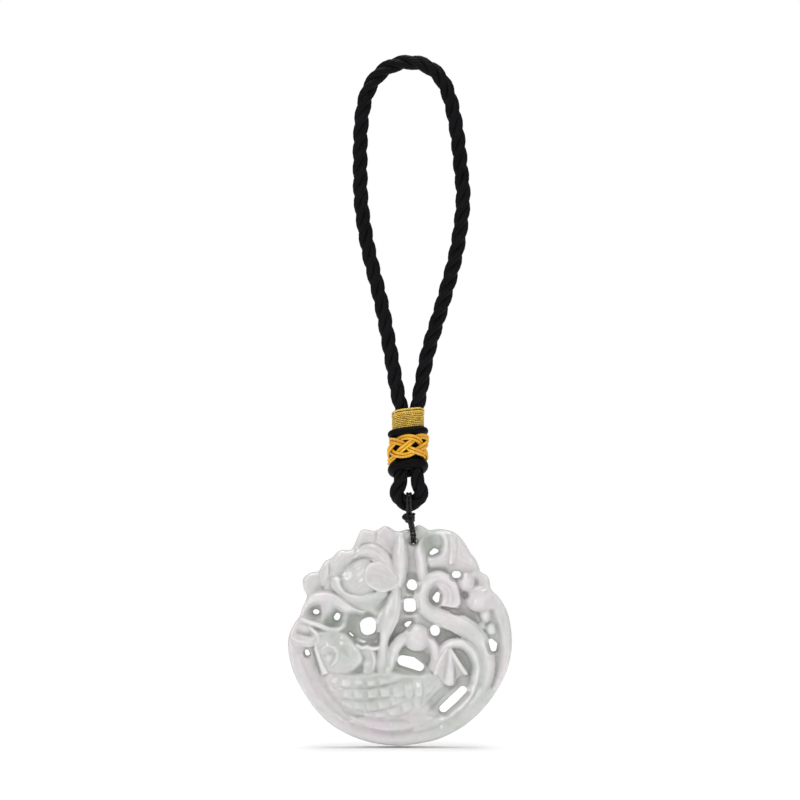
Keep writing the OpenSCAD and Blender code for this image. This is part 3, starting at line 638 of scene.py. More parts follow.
# Petals along the rim at the upper left, each tucked under the next
panel([(-24.4, 13.6, 2.7), (-22.6, 16, 2.7), (-20.4, 16.3, 2.6), (-20, 14, 2), (-19.6, 12.2, 1.7),
       (-22, 10.8, 2.1), (-24.2, 11.2, 2.6)], 0.1)
panel([(-20.5, 16.2, 2.5), (-19, 18.4, 2.7), (-17.6, 19, 2.8), (-17.4, 16.6, 2.9), (-17.8, 14.6, 2.7),
       (-18.6, 12.8, 2.2), (-19.9, 12.4, 1.9), (-20.4, 14, 2.2)], 0.1, lip=0.12)
panel([(-17.7, 18.8, 2.6), (-15.8, 21.2, 2.8), (-14.4, 21.8, 2.8), (-12, 21.8, 2.6), (-10.6, 20.8, 2.2),
       (-11, 19, 1.9), (-13.2, 17.2, 1.9), (-15.2, 14.6, 2), (-16.6, 13.8, 2.1), (-17.6, 14.8, 2.3),
       (-17.8, 16.8, 2.5)], 0.7, 2.6, 0.4)
panel([(-11.6, 22, 2.2), (-10.4, 25.8, 2.7), (-9.2, 26.9, 2.7), (-6.4, 26.5, 2.6), (-5.6, 24.8, 2.4),
       (-6.4, 23, 2), (-8.6, 23, 2), (-10.6, 21.4, 1.9)], 0.1)
panel([(-6.3, 26.3, 2.2), (-5.2, 27.2, 2.5), (-3.7, 27.8, 2.5), (-2, 27, 2.4), (-0.9, 26.2, 2.2),
       (-1.2, 22.6, 1.8), (-2.2, 20.6, 1.7), (-4, 22, 1.9), (-5.8, 23.8, 2.2)], -0.1)
panel([(-18.4, 12.8, 2.3), (-17.6, 14.4, 2.4), (-16.4, 13.6, 2.2), (-16.4, 11.4, 1.9), (-18, 11.2, 1.8),
       (-19.4, 11.6, 1.8)])

scribe(0.35, 0.3, [(-20.6, 16.4), (-20.1, 14.4), (-19.7, 12.6), (-18.6, 11.6)],
       [(-17.7, 19), (-17.5, 16.8), (-18, 14.8), (-18.9, 13)],
       [(-12, 22), (-10.9, 20.8), (-11.4, 19.2), (-12.8, 17.6)], [(-6.2, 26.6), (-5.8, 25), (-6.4, 23.4)],
       [(-16.8, 15.4), (-17.4, 13.6), (-17.2, 12)])

# The flower over them: a band under a bowl petal with its lip, an arc above, and a spoon petal
panel([(-17.1, 14.6, 2.5), (-17.2, 12.8, 2.5), (-16.2, 11.2, 2.6), (-14.6, 9.6, 2.6), (-12.8, 8.1, 2.3),
       (-11, 7.2, 2), (-8.6, 6.8, 1.7), (-6.2, 7.4, 1.8), (-4.2, 9, 2.1), (-3, 10.8, 2.6),
       (-4.6, 11.6, 2.9), (-7, 11, 3), (-10, 11, 3.1), (-12.6, 11.4, 3.2), (-14, 12.6, 3.3),
       (-14.6, 14.2, 3.3), (-15.6, 15, 2.9)], 0.35, 1.4)
panel([(-10, 19.6, 2.3), (-12.2, 18.2, 2.2), (-13.9, 16.5, 2.1), (-14.9, 14.4, 2.1), (-14.6, 12.5, 2.1),
       (-13.2, 10.9, 2.2), (-11, 10.3, 2.4), (-8.6, 10.4, 2.5), (-6.4, 11.4, 2.5), (-5, 13, 2.6),
       (-6, 16, 2.7), (-7.6, 19, 2.5)], 0.5, 1.6)
roll([(-11.2, 19.8, 0.8, 2.5), (-9.8, 21, 1.5, 2.8), (-7.8, 21.3, 2, 3), (-5.7, 20.4, 2.1, 3.1),
      (-3.9, 18.8, 1.8, 3.2), (-2.5, 17, 1.2, 3.1), (-1.4, 15, 0.8, 3)], [(-0.5, 0.08), (0.35, 0.1)], 0.7,
     0.7)
scribe(0.5, 0.3, [(-11.6, 18.8), (-9.8, 19.6), (-8, 19.7), (-6.4, 19.3)])
panel([(-8.9, 15.2, 3.3), (-8.6, 16.8, 3.4), (-7.6, 18.2, 3.4), (-5.4, 18.7, 3.3), (-3.2, 17.7, 3.2),
       (-1.6, 16, 3.2), (-0.2, 13.9, 3.2), (-0.8, 12.3, 3.3), (-4, 11, 3.4), (-6.8, 11.9, 3.4),
       (-8.4, 13.3, 3.3)], -0.35, 2, 0.2, 0.1)
scribe(0.3, 0.35, [(-10.6, 21.6), (-9.4, 22.9), (-7.6, 23.2), (-5.4, 22.3), (-3.6, 20.9), (-2.2, 18.8),
                   (-1.2, 16.6)])
scribe(0.14, 0.25, [(-14.9, 14.4), (-14.5, 12.6), (-13, 11), (-10.6, 10.4), (-8, 10.6)],
       [(-14.6, 15.2), (-13, 17.2), (-10.6, 18.8)])
scribe(-0.14, 0.2, [(-5.9, 23.8), (-4.4, 22.9), (-3, 21.8), (-2, 20.2)],
       [(-5.6, 25), (-4.2, 23.8), (-3, 23.2)], [(-9.2, 23.4), (-8.2, 23.6), (-7.2, 24)],
       [(-18.2, 17.8), (-17.9, 16), (-17.6, 14.6)], [(-18.6, 13.3), (-17.8, 12.4)])
scribe(0.16, 0.2, [(-13.4, 14.8), (-11.6, 16.8), (-10, 18.2)], [(-12.8, 13.4), (-10.8, 15.4), (-9.2, 17)],
       [(-11.8, 12.4), (-10.4, 13.8), (-9.4, 15)], [(-10.4, 11.6), (-9.6, 12.4), (-9, 13.2)])
scribe(0.14, 0.2, [(-9.4, 20.3), (-7.6, 20.6), (-5.8, 19.8), (-4.4, 18.6)],
       [(-9.8, 21.7), (-8, 22.2), (-6, 21.7), (-4.2, 20.4), (-2.8, 18.6)])
scribe(-0.12, 0.2, [(-13, 14), (-11, 15.8), (-9.6, 16.8)],
       [(-13.2, 13.2), (-12, 12.6), (-11.2, 13.4), (-10.4, 13)], [(-12.6, 15.6), (-10.8, 17.2), (-9.4, 18)],
       [(-12, 12.2), (-11.4, 13), (-10.2, 12.8)], [(-10.2, 18.9), (-8.8, 19.2), (-7.4, 18.8)])
scribe(0.14, 0.2, [(-7, 15.6), (-4.6, 15), (-2, 14)], [(-6.8, 16.8), (-4.4, 16.4), (-2, 15)],
       [(-6.8, 13.6), (-4.4, 13.4), (-1.8, 13)], [(-4.4, 17.8), (-2.8, 16.4), (-1.4, 14.8)])

# The leaf at the left, rolled round two holes
panel([(-24.8, 5.4, 2.2), (-24.2, 8, 2.4), (-23.4, 9.9, 2.5), (-22, 10.7, 2.7), (-19.5, 11.1, 2.9),
       (-17, 10.8, 3), (-15, 9.8, 3.1), (-13, 8.2, 3.1), (-11, 6.9, 3), (-8.6, 6, 2.7), (-9.4, 5, 2),
       (-12, 4.6, 2), (-13, 3, 2.3), (-14.4, 1.9, 2.8), (-17, 1.5, 2.9), (-19.6, 2.3, 2.9),
       (-22, 3, 2.7), (-25.2, 4.4, 2.2)], 0.3, 1.5)
sink(0.9, 2.6, [(-21.2, 6.1)], 3)
sink(0.8, 2.5, [(-15.8, 4.9), (-17, 3.9)], 3)
sink(1.7, 1.6, [(-21, 5.6), (-18, 4.8), (-16, 4.8)])
roll([(-24.6, 5.6, 1.2, 2.7), (-23.5, 7.9, 1.5, 3), (-21.6, 9.3, 1.7, 3.3), (-18.8, 9.6, 1.8, 3.5),
      (-16, 8.9, 1.8, 3.6), (-13.6, 7.3, 1.6, 3.5), (-11.4, 6, 1.4, 3.2), (-9, 5.4, 1, 2.6)], [(-0.6, 0.08)],
     foot=1.6, soft=0.5, lean=0.2)
roll([(-25, 4.6, 0.7, 2.5), (-22.6, 3.5, 0.8, 2.9), (-20.4, 2.9, 0.8, 3.1), (-18, 1.9, 0.8, 3.1),
      (-15.8, 1.7, 0.8, 3), (-14, 2.6, 0.8, 2.7), (-13, 4, 0.7, 2.3)], foot=1, soft=0.3)
scribe(-0.2, 0.4, [(-19.6, 7.8), (-19.4, 6), (-19, 4.4)])
scribe(-0.12, 0.25, [(-16, 10.2), (-14, 8.7), (-12, 7.3), (-9.8, 6.3)],
       [(-22.8, 4.3), (-20.4, 3.4), (-18, 2.4)], [(-22.2, 2.3), (-20.2, 2.4), (-18, 1.6), (-16.4, 1.4)])
scribe(0.15, 0.25, [(-16.8, 11.2), (-15, 10.3), (-13, 8.6), (-11, 7.3), (-8.8, 6.4)])

# The wide hollow inside the left rim, and the rim itself, whose crest moves inwards along the foot
roll([(-26.6, 2.4, 1.2, 2.3), (-27, -1, 1.5, 2.5), (-26.8, -4, 1.7, 2.6), (-25.9, -8, 2, 2.6),
      (-24.2, -12, 2.4, 2.65), (-21.8, -15.6, 2.8, 2.7), (-18.9, -18.8, 3, 2.75), (-15.4, -21.4, 3, 2.8),
      (-11.8, -23.2, 3, 2.85), (-8, -24.3, 2.9, 2.9), (-3, -24.9, 2.9, 2.9), (2, -25, 2.9, 2.9),
      (7, -24.2, 2.9, 2.9), (11, -22.7, 2.9, 2.9), (14.5, -20.4, 2.9, 2.9), (18, -17.4, 2.9, 2.7),
      (21.6, -13.6, 2.6, 2.5)], foot=0.9, soft=0.4)
sink(1.75, 2.0, [(-23.2, -5.4), (-22.7, -8.4), (-21.4, -11.6), (-19.4, -14.8), (-17, -17.4), (-14.4, -19.6),
                 (-11.4, -21.4)])
sink(2.15, 1.1, [(-11.4, -21.8), (-8.6, -22.9), (-5, -23.8), (-1, -24), (4, -23.4), (9, -21.8)])

# Rim at the right, outside the long scroll
roll([(23.2, 10.4, 1.6, 2.6), (25, 7, 2, 2.8), (26, 2, 2.2, 2.8), (26.3, -3, 2.2, 2.8), (25.6, -8, 2.2, 2.7),
      (23.8, -12, 2.2, 2.5)], foot=0.8, soft=0.4)
sink(1.6, 1.0, [(24.2, -0.6), (24.4, -4), (24, -8), (22.8, -12)])

# The fish's side: one long swelling form from the gills to the tail
panel([(-18.4, -9.6, 2.5), (-15, -9.1, 2.9), (-10, -9.3, 3), (-6, -9, 3.1), (-2, -8.7, 3.1), (2, -9.4, 2.9),
       (6, -9.3, 2.8), (9.5, -9.6, 2.7), (13.6, -12, 2.3), (12, -15.4, 1.9), (9.6, -18.4, 1.9),
       (7.6, -20.8, 2.2), (3, -21, 2.5), (0, -20.8, 2.6), (-4, -20.9, 2.6), (-8, -20.1, 2.5),
       (-11.5, -18.8, 2.4), (-14.6, -16.6, 2.2), (-17.4, -13, 2.2)], 0.9, 4, 0.7)
sink(1.15, 2.0, [(8.8, -17), (10.4, -15.4), (12.2, -13.4), (14.2, -12)])

# Scales: a tile each, (x, z, half width, half height, turn in degrees, rise), in four rows and a fan
scales = [
    (-16.3, -10.9, 0.9, 1, -14, 0.5), (-13.5, -11.4, 1.25, 1.1, -6, 0.5), (-10.2, -11.2, 1.2, 1, 2, 0.4),
    (-7.2, -11.4, 1.2, 1.05, 4, 0.5), (-4, -11, 1.3, 0.95, 8, 0.45), (-0.9, -10.3, 1.4, 0.8, 12, 0.3),
    (-16.6, -13, 1.2, 0.8, -30, 0.35), (-13.2, -14.1, 1.15, 1.3, -5, 0.45),
    (-10.2, -14.3, 1.35, 1.25, 2, 0.45), (-6.8, -14.1, 1.4, 1.3, 5, 0.5),
    (-3.7, -13.7, 1.35, 1.35, 8, 0.5), (-0.3, -13.6, 1.6, 1.5, 14, 0.5),
    (-13.6, -16.6, 1.1, 0.9, -20, 0.3), (-10.2, -17.2, 1.3, 1.1, -2, 0.35),
    (-7.3, -17.3, 1.3, 1.35, 4, 0.45), (-4.1, -16.8, 1.5, 1.25, 10, 0.45), (-0.8, -16, 1.4, 1.1, 16, 0.4),
    (-8, -19.2, 1.1, 0.7, -4, 0.3), (-4.8, -19.3, 1.6, 0.85, 6, 0.4), (-1.5, -18.6, 1.5, 1.05, 16, 0.45),
    (1.7, -17.2, 1.3, 1.6, 18, 0.45), (2.1, -13.4, 1.1, 1.9, 8, 0.4), (4.5, -12.7, 1.1, 2.3, 6, 0.35),
    (4.2, -16.6, 1, 1.6, 20, 0.3)]
for x, z, half_w, half_h, turn_by, rise in scales:
    c, s = math.cos(math.radians(turn_by)), math.sin(math.radians(turn_by))
    u = ((gx - x) * c + (gz - z) * s) / half_w
    v = ((gz - z) * c - (gx - x) * s) / half_h
    tile = np.clip(1 - np.abs(u) ** 3.5 - np.abs(v) ** 3.5, 0, 1) ** 0.7
    relief += tile * rise * (0.9 - 0.45 * u - 0.4 * v)
scribe(0.28, 0.24,
       [(-17, -12.4), (-14, -12.7), (-11, -12.8), (-8, -12.7), (-5, -12.3), (-2, -11.7), (1, -10.6)],
       [(-15, -15.5), (-12, -15.8), (-9, -15.9), (-6, -15.6), (-3, -15.2), (-1.4, -15)],
       [(-12, -18.4), (-9, -18.7), (-6, -18.5), (-4, -18), (-1.5, -17.3), (0.4, -16.4)],
       [(-15, -9.2), (-12, -9.6), (-9, -9.8), (-6, -9.4)],
       [(-10, -19.7), (-7, -20.4), (-4, -20.6), (-1, -20.3), (1.4, -19.2), (3, -18)])
scribe(0.26, 0.22, [(-2.1, -12.4), (-2.2, -14.8)], [(0.9, -11.4), (1.3, -13.6), (1, -15.4), (0.4, -16.8)],
       [(3.3, -10.6), (3.6, -13), (3.3, -15.4), (3, -17.6)],
       [(5.4, -10.4), (6, -12.6), (5.8, -15), (5.2, -17.4)])
scribe(-0.12, 0.2, [(-0.4, -12.2), (0.6, -13.2), (0.5, -15)], [(2.2, -11.6), (3, -13.2), (2.6, -15.6)],
       [(4.6, -10.6), (5.4, -12.6), (5.2, -15)], [(-1.8, -12.8), (-0.8, -12.1), (0.2, -12)])
scribe(0.2, 0.25, [(5, -18.8), (7.6, -16), (10.6, -12.8)], [(6.6, -19.2), (9, -16.8), (11.4, -14.4)],
       [(6.4, -15.2), (8, -13.6), (9.4, -11.8)], [(6, -13), (7.4, -11.8), (8.2, -10.6)])
scribe(-0.12, 0.2, [(-16, -16.3), (-15.2, -17.4)], [(-11.6, -19.6), (-10.4, -20.8)],
       [(-17.6, -12.6), (-16.6, -13.6)], [(-18.6, -13.4), (-17, -15.6), (-14.4, -18.4)],
       [(-19.4, -12.6), (-18, -15), (-15.6, -18), (-12.6, -20.4)])

# Belly fin and the small leaf under the tail
dome(-3.5, -20.9, 9, 1.4, 2, 2.45, 0.3)
panel([(-12.6, -20, 2.2), (-10, -20.5, 2.4), (-6, -21, 2.7), (-1, -21.1, 2.7), (3, -21.1, 2.6),
       (6, -21.5, 2.5), (3, -22.8, 2.7), (0, -23.3, 2.8), (-3, -23.5, 2.9), (-6, -23.1, 2.8),
       (-9, -22.2, 2.5)], 0.3, 0.9)
panel([(1.2, -20.3, 2.5), (3.4, -19.3, 2.7), (6.4, -19.4, 2.6), (8.6, -20.2, 2.5), (6.6, -21.4, 2.6),
       (3.6, -21.7, 2.6)], 0.25, 0.9)
scribe(0.1, 0.22, [(-10, -21.2), (-7, -22.2), (-3, -22.5), (2, -22.2)], [(-7.4, -21.4), (-6.4, -22.8)],
       [(-2.4, -21.4), (-1.6, -22.8)], [(2, -20.6), (4.6, -20.4), (7.4, -20.3)])

# The fish's head: mouth, brow, eye, gill cover and barbel
panel([(-27, 1.6, 2.2), (-25.2, 3, 2.4), (-22.4, 2.6, 2.7), (-21, 1.4, 2.9), (-20.6, -1, 3),
       (-21.6, -2.4, 2.7), (-24, -2.6, 2.5), (-27.2, -2, 2.3)], 0.15, 1.2)
sink(1.7, 0.9, [(-25.4, 1.2), (-23.8, 0.6), (-22.6, 0.6)])
panel([(-20.8, 0.9, 3), (-18.6, 1.4, 3.1), (-15.6, 1.3, 3.1), (-13.4, 0.6, 3.1), (-11.9, -0.8, 3.1),
       (-10.6, -2.6, 3.1), (-9.5, -4.4, 3.2), (-9.3, -6.2, 3.3), (-10.4, -7.6, 3.1), (-12.4, -8.8, 2.9),
       (-15, -9.2, 2.7), (-17.4, -9, 2.7), (-18.8, -8.6, 2.7), (-20.2, -5.4, 2.8), (-21, -2, 2.9)], 1.1, 3,
      0.55)
sink(2.2, 0.5, [(-10.9, -8.2), (-9.9, -7.4), (-9, -6.4)])
fish_eye_x, fish_eye_z = -17.6, -5
sink(3.0, 1.75, [(fish_eye_x, fish_eye_z)], 4)
dome(fish_eye_x, fish_eye_z, 1.3, 1.35, 0, 3.75, 0.7, 0.08)
roll([(-19.5, -3.2, 0.5, 3.4), (-18.6, -2.3, 0.6, 3.8), (-17.1, -2.3, 0.65, 4.05), (-15.9, -3.3, 0.65, 4.15),
      (-15.5, -4.6, 0.65, 4.15), (-16, -5.9, 0.6, 4), (-16.9, -7, 0.5, 3.7)], foot=0.7, soft=0.1)
roll([(-27, -0.2, 0.5, 2.6), (-25.6, -1, 0.6, 2.8), (-23.8, -1.3, 0.7, 2.9), (-22, -1.4, 0.6, 3),
      (-21, -1.9, 0.5, 3)], foot=0.7, soft=0.12)
roll([(-22.6, 2.3, 0.5, 2.9), (-21.6, 1.5, 0.6, 3.2), (-20.6, 0.5, 0.65, 3.4), (-20.3, -0.8, 0.6, 3.4),
      (-21.1, -2.1, 0.5, 3.1)], foot=0.8, soft=0.12)
scribe(0.3, 0.28, [(-21.7, -2.4), (-21.2, -4.4), (-20.4, -7), (-19.6, -9.6)])
panel([(-21.5, -2.9, 3.2), (-20.7, -2, 3.4), (-19.7, -5.4, 3.5), (-17.9, -9.1, 3.4), (-19.4, -9.6, 3.2),
       (-20.6, -6, 3.2)], 0.15, 0.5, 0.12, crisp=True)

# Deep hollows round the big hole and under the ball, with the shelf and the gill pocket below them
sink(0.2, 2.7, [(-11, 3.6), (-10.6, 1.8), (-9, 0.4), (-7.2, 0)], 4)
sink(0.2, 1.9, [(-8, 4.2), (-7.4, 2), (-6.4, 0.4)], 4)
sink(0.5, 1.25, [(-10.4, -0.6), (-8.6, -1.2), (-6.4, -1.3)], 4)
roll([(-10.6, -2.2, 0.5, 2.6), (-9.6, -2.9, 0.6, 2.8), (-8.2, -2.7, 0.6, 2.8), (-6.6, -3.1, 0.6, 2.8),
      (-5.2, -2.8, 0.6, 2.8)], foot=0.7, soft=0.2)
panel([(-9.4, -3.4, 2.2), (-7.2, -3.4, 2.3), (-6, -4.4, 2.5), (-5.8, -7, 2.4), (-6.6, -8.9, 2.6),
       (-9.2, -9, 2.5), (-9, -6.4, 2)], 0.0)
roll([(-7.1, -4, 0.5, 2.8), (-6.5, -5.2, 0.6, 3), (-6.4, -6.8, 0.6, 2.9), (-7, -8.4, 0.5, 2.7)], foot=0.7,
     soft=0.15)
dome(-8.2, -7, 1.1, 1.5, 0, 2.7, 0.6)

# The channel beside the stem, crossed by two bars, and the hollows by the ball
sink(0.6, 1.5, [(2.8, 14.6), (2.9, 12.6), (2.6, 10), (2.4, 7.4), (2.2, 4.6), (1.8, 2.6)], 3)
sink(0.4, 1.8, [(0.4, 2), (-0.8, 0.6), (-1.8, -0.6)])
scribe(-0.5, 0.5, [(1.4, 10.3), (2.8, 10.2), (4.2, 10.3)], [(1, 5), (2.6, 5), (4.4, 5.4)])
sink(2.1, 1.1, [(2.8, 22), (2.9, 19), (3, 16)])
sink(0.5, 1.7, [(9.4, 0.6), (11.2, 0.2), (13, 0.6)])
sink(0.9, 1.1, [(13, 0.6), (16, 0.2), (18.4, -1)])
sink(1.1, 1.3, [(15, 6.2), (17, 5.6), (18.6, 5)], 3)
sink(1.4, 0.8, [(7, 19), (6.7, 17.4), (7.4, 16.7), (9, 16.6), (11, 16.7)])
sink(1.4, 1.1, [(19, 13.6), (19, 12.4)])

# Central stem and the long leaf below its knot, with the thin curl at its left
roll([(0.2, 26.4, 1.4, 2.5), (0.1, 24, 1.9, 3), (0, 20.5, 2.2, 3.5), (0, 17, 2, 3.7), (0, 14.8, 1.6, 3.6),
      (-0.2, 13, 1.1, 3.3)], foot=1.9, lean=0.15)
roll([(-0.8, 12.6, 1, 3.1), (-1.1, 10.6, 1.5, 3.3), (-1.6, 8, 2, 3.6), (-2.3, 5.4, 2.3, 3.7),
      (-3, 3, 2.1, 3.6), (-3.6, 0.6, 1.5, 3.3), (-4, -1.6, 1.2, 3.1), (-4.2, -4.6, 1.5, 3.1),
      (-4.5, -7.4, 1.6, 3), (-4.8, -9.4, 1, 2.9)], [(0.62, 0.1)], foot=1.2, power=1.3)
roll([(-3.4, 7.6, 0.6, 2.4), (-4.4, 6.2, 0.7, 2.8), (-5.1, 4.8, 0.7, 2.7), (-5.4, 3, 0.6, 2.4),
      (-5.3, 1.4, 0.6, 2.2)], foot=0.9, soft=0.2)
scribe(-0.2, 0.25, [(-0.5, 15.6), (0, 14.8), (0.1, 14), (-0.3, 13.3)])
scribe(-0.1, 0.22, [(-2.1, 9.8), (-3, 8), (-3.8, 6)], [(-4.6, 6.2), (-5.3, 5.2)], [(-4.7, 4), (-5, 2.2)])

# Ball in the middle and the two legs that hold it over the deep hollow
sink(0.4, 1.6, [(0.6, -4), (2.6, -4.4), (5, -5), (6.6, -6)], 3)
sink(1.3, 1.2, [(-0.6, -3.8), (0, -6.6)])
roll([(2.4, 0.4, 1.4, 3), (0.4, -0.9, 1.6, 3.2), (-1.1, -2.6, 1.6, 3.3), (-2, -4.8, 1.5, 3.3),
      (-2.6, -7, 1.6, 3.1), (-3.4, -9.2, 1.6, 3)], foot=1.5, lean=0.3, soft=0.4)
roll([(6.6, -0.4, 1.4, 3.1), (7.9, -1.9, 1.5, 3.3), (8.8, -3.6, 1.5, 3.3), (8.9, -5.6, 1.4, 3.1),
      (8.2, -7.8, 1.3, 2.9)], foot=1.5, lean=0.3, soft=0.4)
dome(4.2, -0.3, 3.5, 3.5, 0, 4.35, 2.2, 0.35)

# Top scroll: the leg, the green hollow, the roll with its fanned tip, the second band and the flare
panel([(4, 25.4, 2), (3.8, 27.4, 2.1), (4.8, 28, 2.2), (6.4, 27.2, 2.2), (7, 26.2, 2.2), (5, 24.6, 2)])
panel([(11.2, 26.2, 2.6), (13.4, 26.2, 2.6), (15, 25, 2.5), (16.8, 22.4, 2.5), (18.2, 20.4, 2.5),
       (19.6, 18.6, 2.4), (20, 17, 2.2), (17.6, 16.2, 1.9), (15, 16.6, 1.8), (12, 17, 1.9), (9.4, 17.2, 2.1),
       (7.6, 17.4, 2.4), (6.8, 19.1, 2.9), (7.8, 20, 2.8), (9.6, 20.7, 2.9), (10.6, 21.8, 3), (10.8, 23.6, 3),
       (10.4, 25.2, 2.8)], 0.9, 2.2, 0.6)
roll([(6, 14.2, 1.4, 3), (5.5, 16.6, 1.5, 3.2), (5.3, 19.4, 1.5, 3.2), (5, 21.8, 1.4, 3.1),
      (5.4, 23.6, 1, 2.8), (6.8, 25, 0.9, 2.8), (8.6, 25.8, 0.9, 2.9), (10.4, 25.6, 1, 3.1),
      (11.4, 24.2, 1, 3.5), (11.5, 22.4, 1.1, 3.8), (10.8, 20.9, 1.2, 3.8), (9.4, 19.9, 1.1, 3.6),
      (7.6, 19.3, 0.8, 3.3)], foot=1.2, soft=0.25)
sink(1.0, 2.1, [(7.2, 24), (7.6, 22.4), (8.4, 21.4)])
roll([(12.6, 25.6, 0.7, 2.9), (13.1, 23.6, 0.8, 3.3), (13.1, 21, 0.9, 3.5), (12.8, 18.6, 0.8, 3.3)], foot=0.9,
     soft=0.15, lean=-0.4)
scribe(0.3, 0.26, [(14.2, 24.8), (14.3, 22.4), (14.2, 20), (14, 18)])
scribe(0.14, 0.24, [(12.3, 24.8), (12.2, 22), (12, 19.6), (11.6, 18.2)], [(15.8, 22), (16.6, 19.8)],
       [(9.6, 20.9), (8.4, 20.4), (7.2, 19.7)], [(9.2, 19.4), (8.2, 19), (7, 19)])
scribe(-0.12, 0.2, [(9.8, 20.6), (8.6, 19.9), (7.2, 19.3)], [(11.1, 24.4), (11.2, 22.6), (10.4, 21.2)],
       [(5.1, 23.8), (6.4, 25), (8.2, 25.7)], [(5.2, 17), (5.1, 19.6), (5.2, 21.6)])

# Leaf tip, buds and pearls at the right
panel([(19.4, 16, 2.3), (20, 16.4, 2.4), (22, 15.2, 2.4), (22.8, 12.2, 2.4), (21.4, 11.8, 2.3),
       (20, 12.2, 1.8), (19.6, 14, 1.9)], 0.2)
dome(16.5, 13.6, 2.2, 2.5, 10, 3.2, 1.3)
panel([(16.6, 9.4, 2.4), (17.2, 11, 2.7), (18.6, 12.2, 2.8), (20.6, 12.4, 2.8), (22.6, 11.6, 2.7),
       (24, 10, 2.6), (25.2, 7.6, 2.6), (24.2, 6.4, 2.3), (22.6, 6.6, 2.4), (21.6, 6.6, 2.6), (20, 6.4, 2.2),
       (18.4, 6.8, 2.1), (17, 7.8, 2.1)], 0.5, 3.2, 0.9)
dome(19.7, 9, 3.3, 3, 0, 3.8, 1.9, 0.7)
dome(18.7, 8.8, 0.5, 0.5, 0, 3.95, 0.2, 0.08)
dome(21.3, 5.2, 1.4, 1.9, 10, 3.1, 1.1)
dome(22.8, 1.8, 1.5, 1.5, 0, 3.2, 1.1)
dome(20.4, 2.6, 1.2, 1.2, 0, 2.6, 0.8)
sink(0.8, 0.75, [(16.1, 10.3), (16.3, 10.2)], 3)
sink(1.7, 0.55, [(22.9, 6.4), (23.3, 4.6), (24, 3.2), (24.5, 1.4), (24.6, -0.2)])
scribe(0.1, 0.22, [(25.3, 7.4), (25.7, 3), (25.6, -2), (25, -6)],
       [(26.6, 5), (26.7, 0), (26.4, -5), (25.4, -9)])

# The long scroll: its dish round a hole, its fan, and the band that runs down the right side
panel([(4.8, 9, 3.3), (4.9, 11.4, 3.4), (5.9, 13.6, 3.5), (7.6, 15.2, 3.5), (9.6, 15.8, 3.5),
       (11.6, 15.6, 3.4), (13.2, 14.6, 3.3), (14.4, 12.6, 3.2), (15, 10.2, 3.1), (15, 8, 3), (13.4, 7.2, 3),
       (10.6, 7.4, 2.8), (8.6, 6.4, 2.9), (6, 6.6, 3.3)], 0.15, 1.2)
sink(1.3, 2.6, [(8.4, 9.4), (8.8, 10.6)])
panel([(9.2, 13.4, 3.3), (11.2, 14.1, 3.5), (13.2, 13.8, 3.4), (14.2, 12.2, 3.3), (14.5, 10.2, 3.2),
       (14.4, 8, 3.1), (13.8, 7.2, 3.2), (12.2, 7.4, 3.2), (10, 7.9, 2.9), (9.9, 9.2, 2.5), (10.2, 10.8, 2.6),
       (9.6, 12, 2.9)], 0.4, 1)
roll([(14.2, 7.4, 0.7, 2.8), (14.1, 10.2, 0.8, 3.1), (13.3, 12.6, 1.1, 3.5), (11.7, 14.3, 1.4, 3.7),
      (9.5, 14.9, 1.6, 3.8), (7.2, 13.9, 1.8, 3.8), (5.7, 11.9, 1.9, 3.8), (5.3, 9.6, 1.9, 3.8),
      (6, 7.4, 1.9, 3.8), (8, 5.7, 2, 3.8), (11, 4.5, 2.3, 3.8), (14.6, 3.1, 2.6, 3.8),
      (17.8, 1.1, 2.6, 3.8), (20.1, -1.4, 2.3, 3.8), (21.4, -4.4, 2.1, 3.7), (21.8, -7.6, 2, 3.6),
      (21.2, -11, 1.9, 3.4), (19.6, -14.4, 1.7, 3.2), (17, -17.4, 1.8, 3), (14, -20, 1.9, 2.8)],
     [(0.72, 0.14), (0.42, 0.1)], foot=1.5, lean=0.15)
scribe(0.24, 0.22, [(9.8, 13.1), (11.4, 12.1), (12, 10.2), (11.6, 7.9)],
       [(10.4, 13.7), (12.4, 12.4), (13.2, 10.2), (13, 7.6)])
scribe(-0.12, 0.22, [(9.6, 12.4), (10.8, 11.4), (11, 9.8), (10.6, 8.2)],
       [(12.4, 10.6), (12.6, 9.2), (12.3, 8)], [(9.9, 8), (12, 7.6), (14.4, 7.5)],
       [(7, 13.6), (9.2, 14.3), (11.4, 13.6)])
scribe(-0.1, 0.2, [(8.4, 6.5), (11.4, 5.5), (14.6, 4.7), (17.4, 3.3), (19.6, 1.5), (21, -0.8)])
scribe(0.2, 0.3, [(9.6, 7.7), (11.6, 7.1), (14.6, 6.9)])

# The low scroll: its roll, its band round the slot, the hollow in it and the tassel of three folds
roll([(9.8, -4.6, 0.8, 2.9), (10.8, -2.8, 1.1, 3.4), (12.6, -1.8, 1.3, 3.8), (14.8, -1.7, 1.5, 4),
      (17, -2.6, 1.6, 4.1), (18.6, -4.8, 1.6, 4.1), (19.2, -7.6, 1.5, 4.1), (19, -10.4, 1.5, 4),
      (18.1, -13.2, 1.4, 3.8), (16.6, -15.8, 1.4, 3.6), (14.4, -18.2, 1.5, 3.4), (11.6, -20.3, 1.6, 3.1),
      (8, -22, 1.7, 2.8), (4, -23.2, 1.6, 2.6)], [(0.5, 0.12), (0.8, 0.08), (-0.2, 0.08)], foot=1.5,
     lean=-0.1)
sink(1.5, 1.8, [(14.8, -4.6), (15.8, -6), (16.8, -7.6)])
sink(1.5, 1.2, [(14.6, -11.4), (16.4, -11.2)])
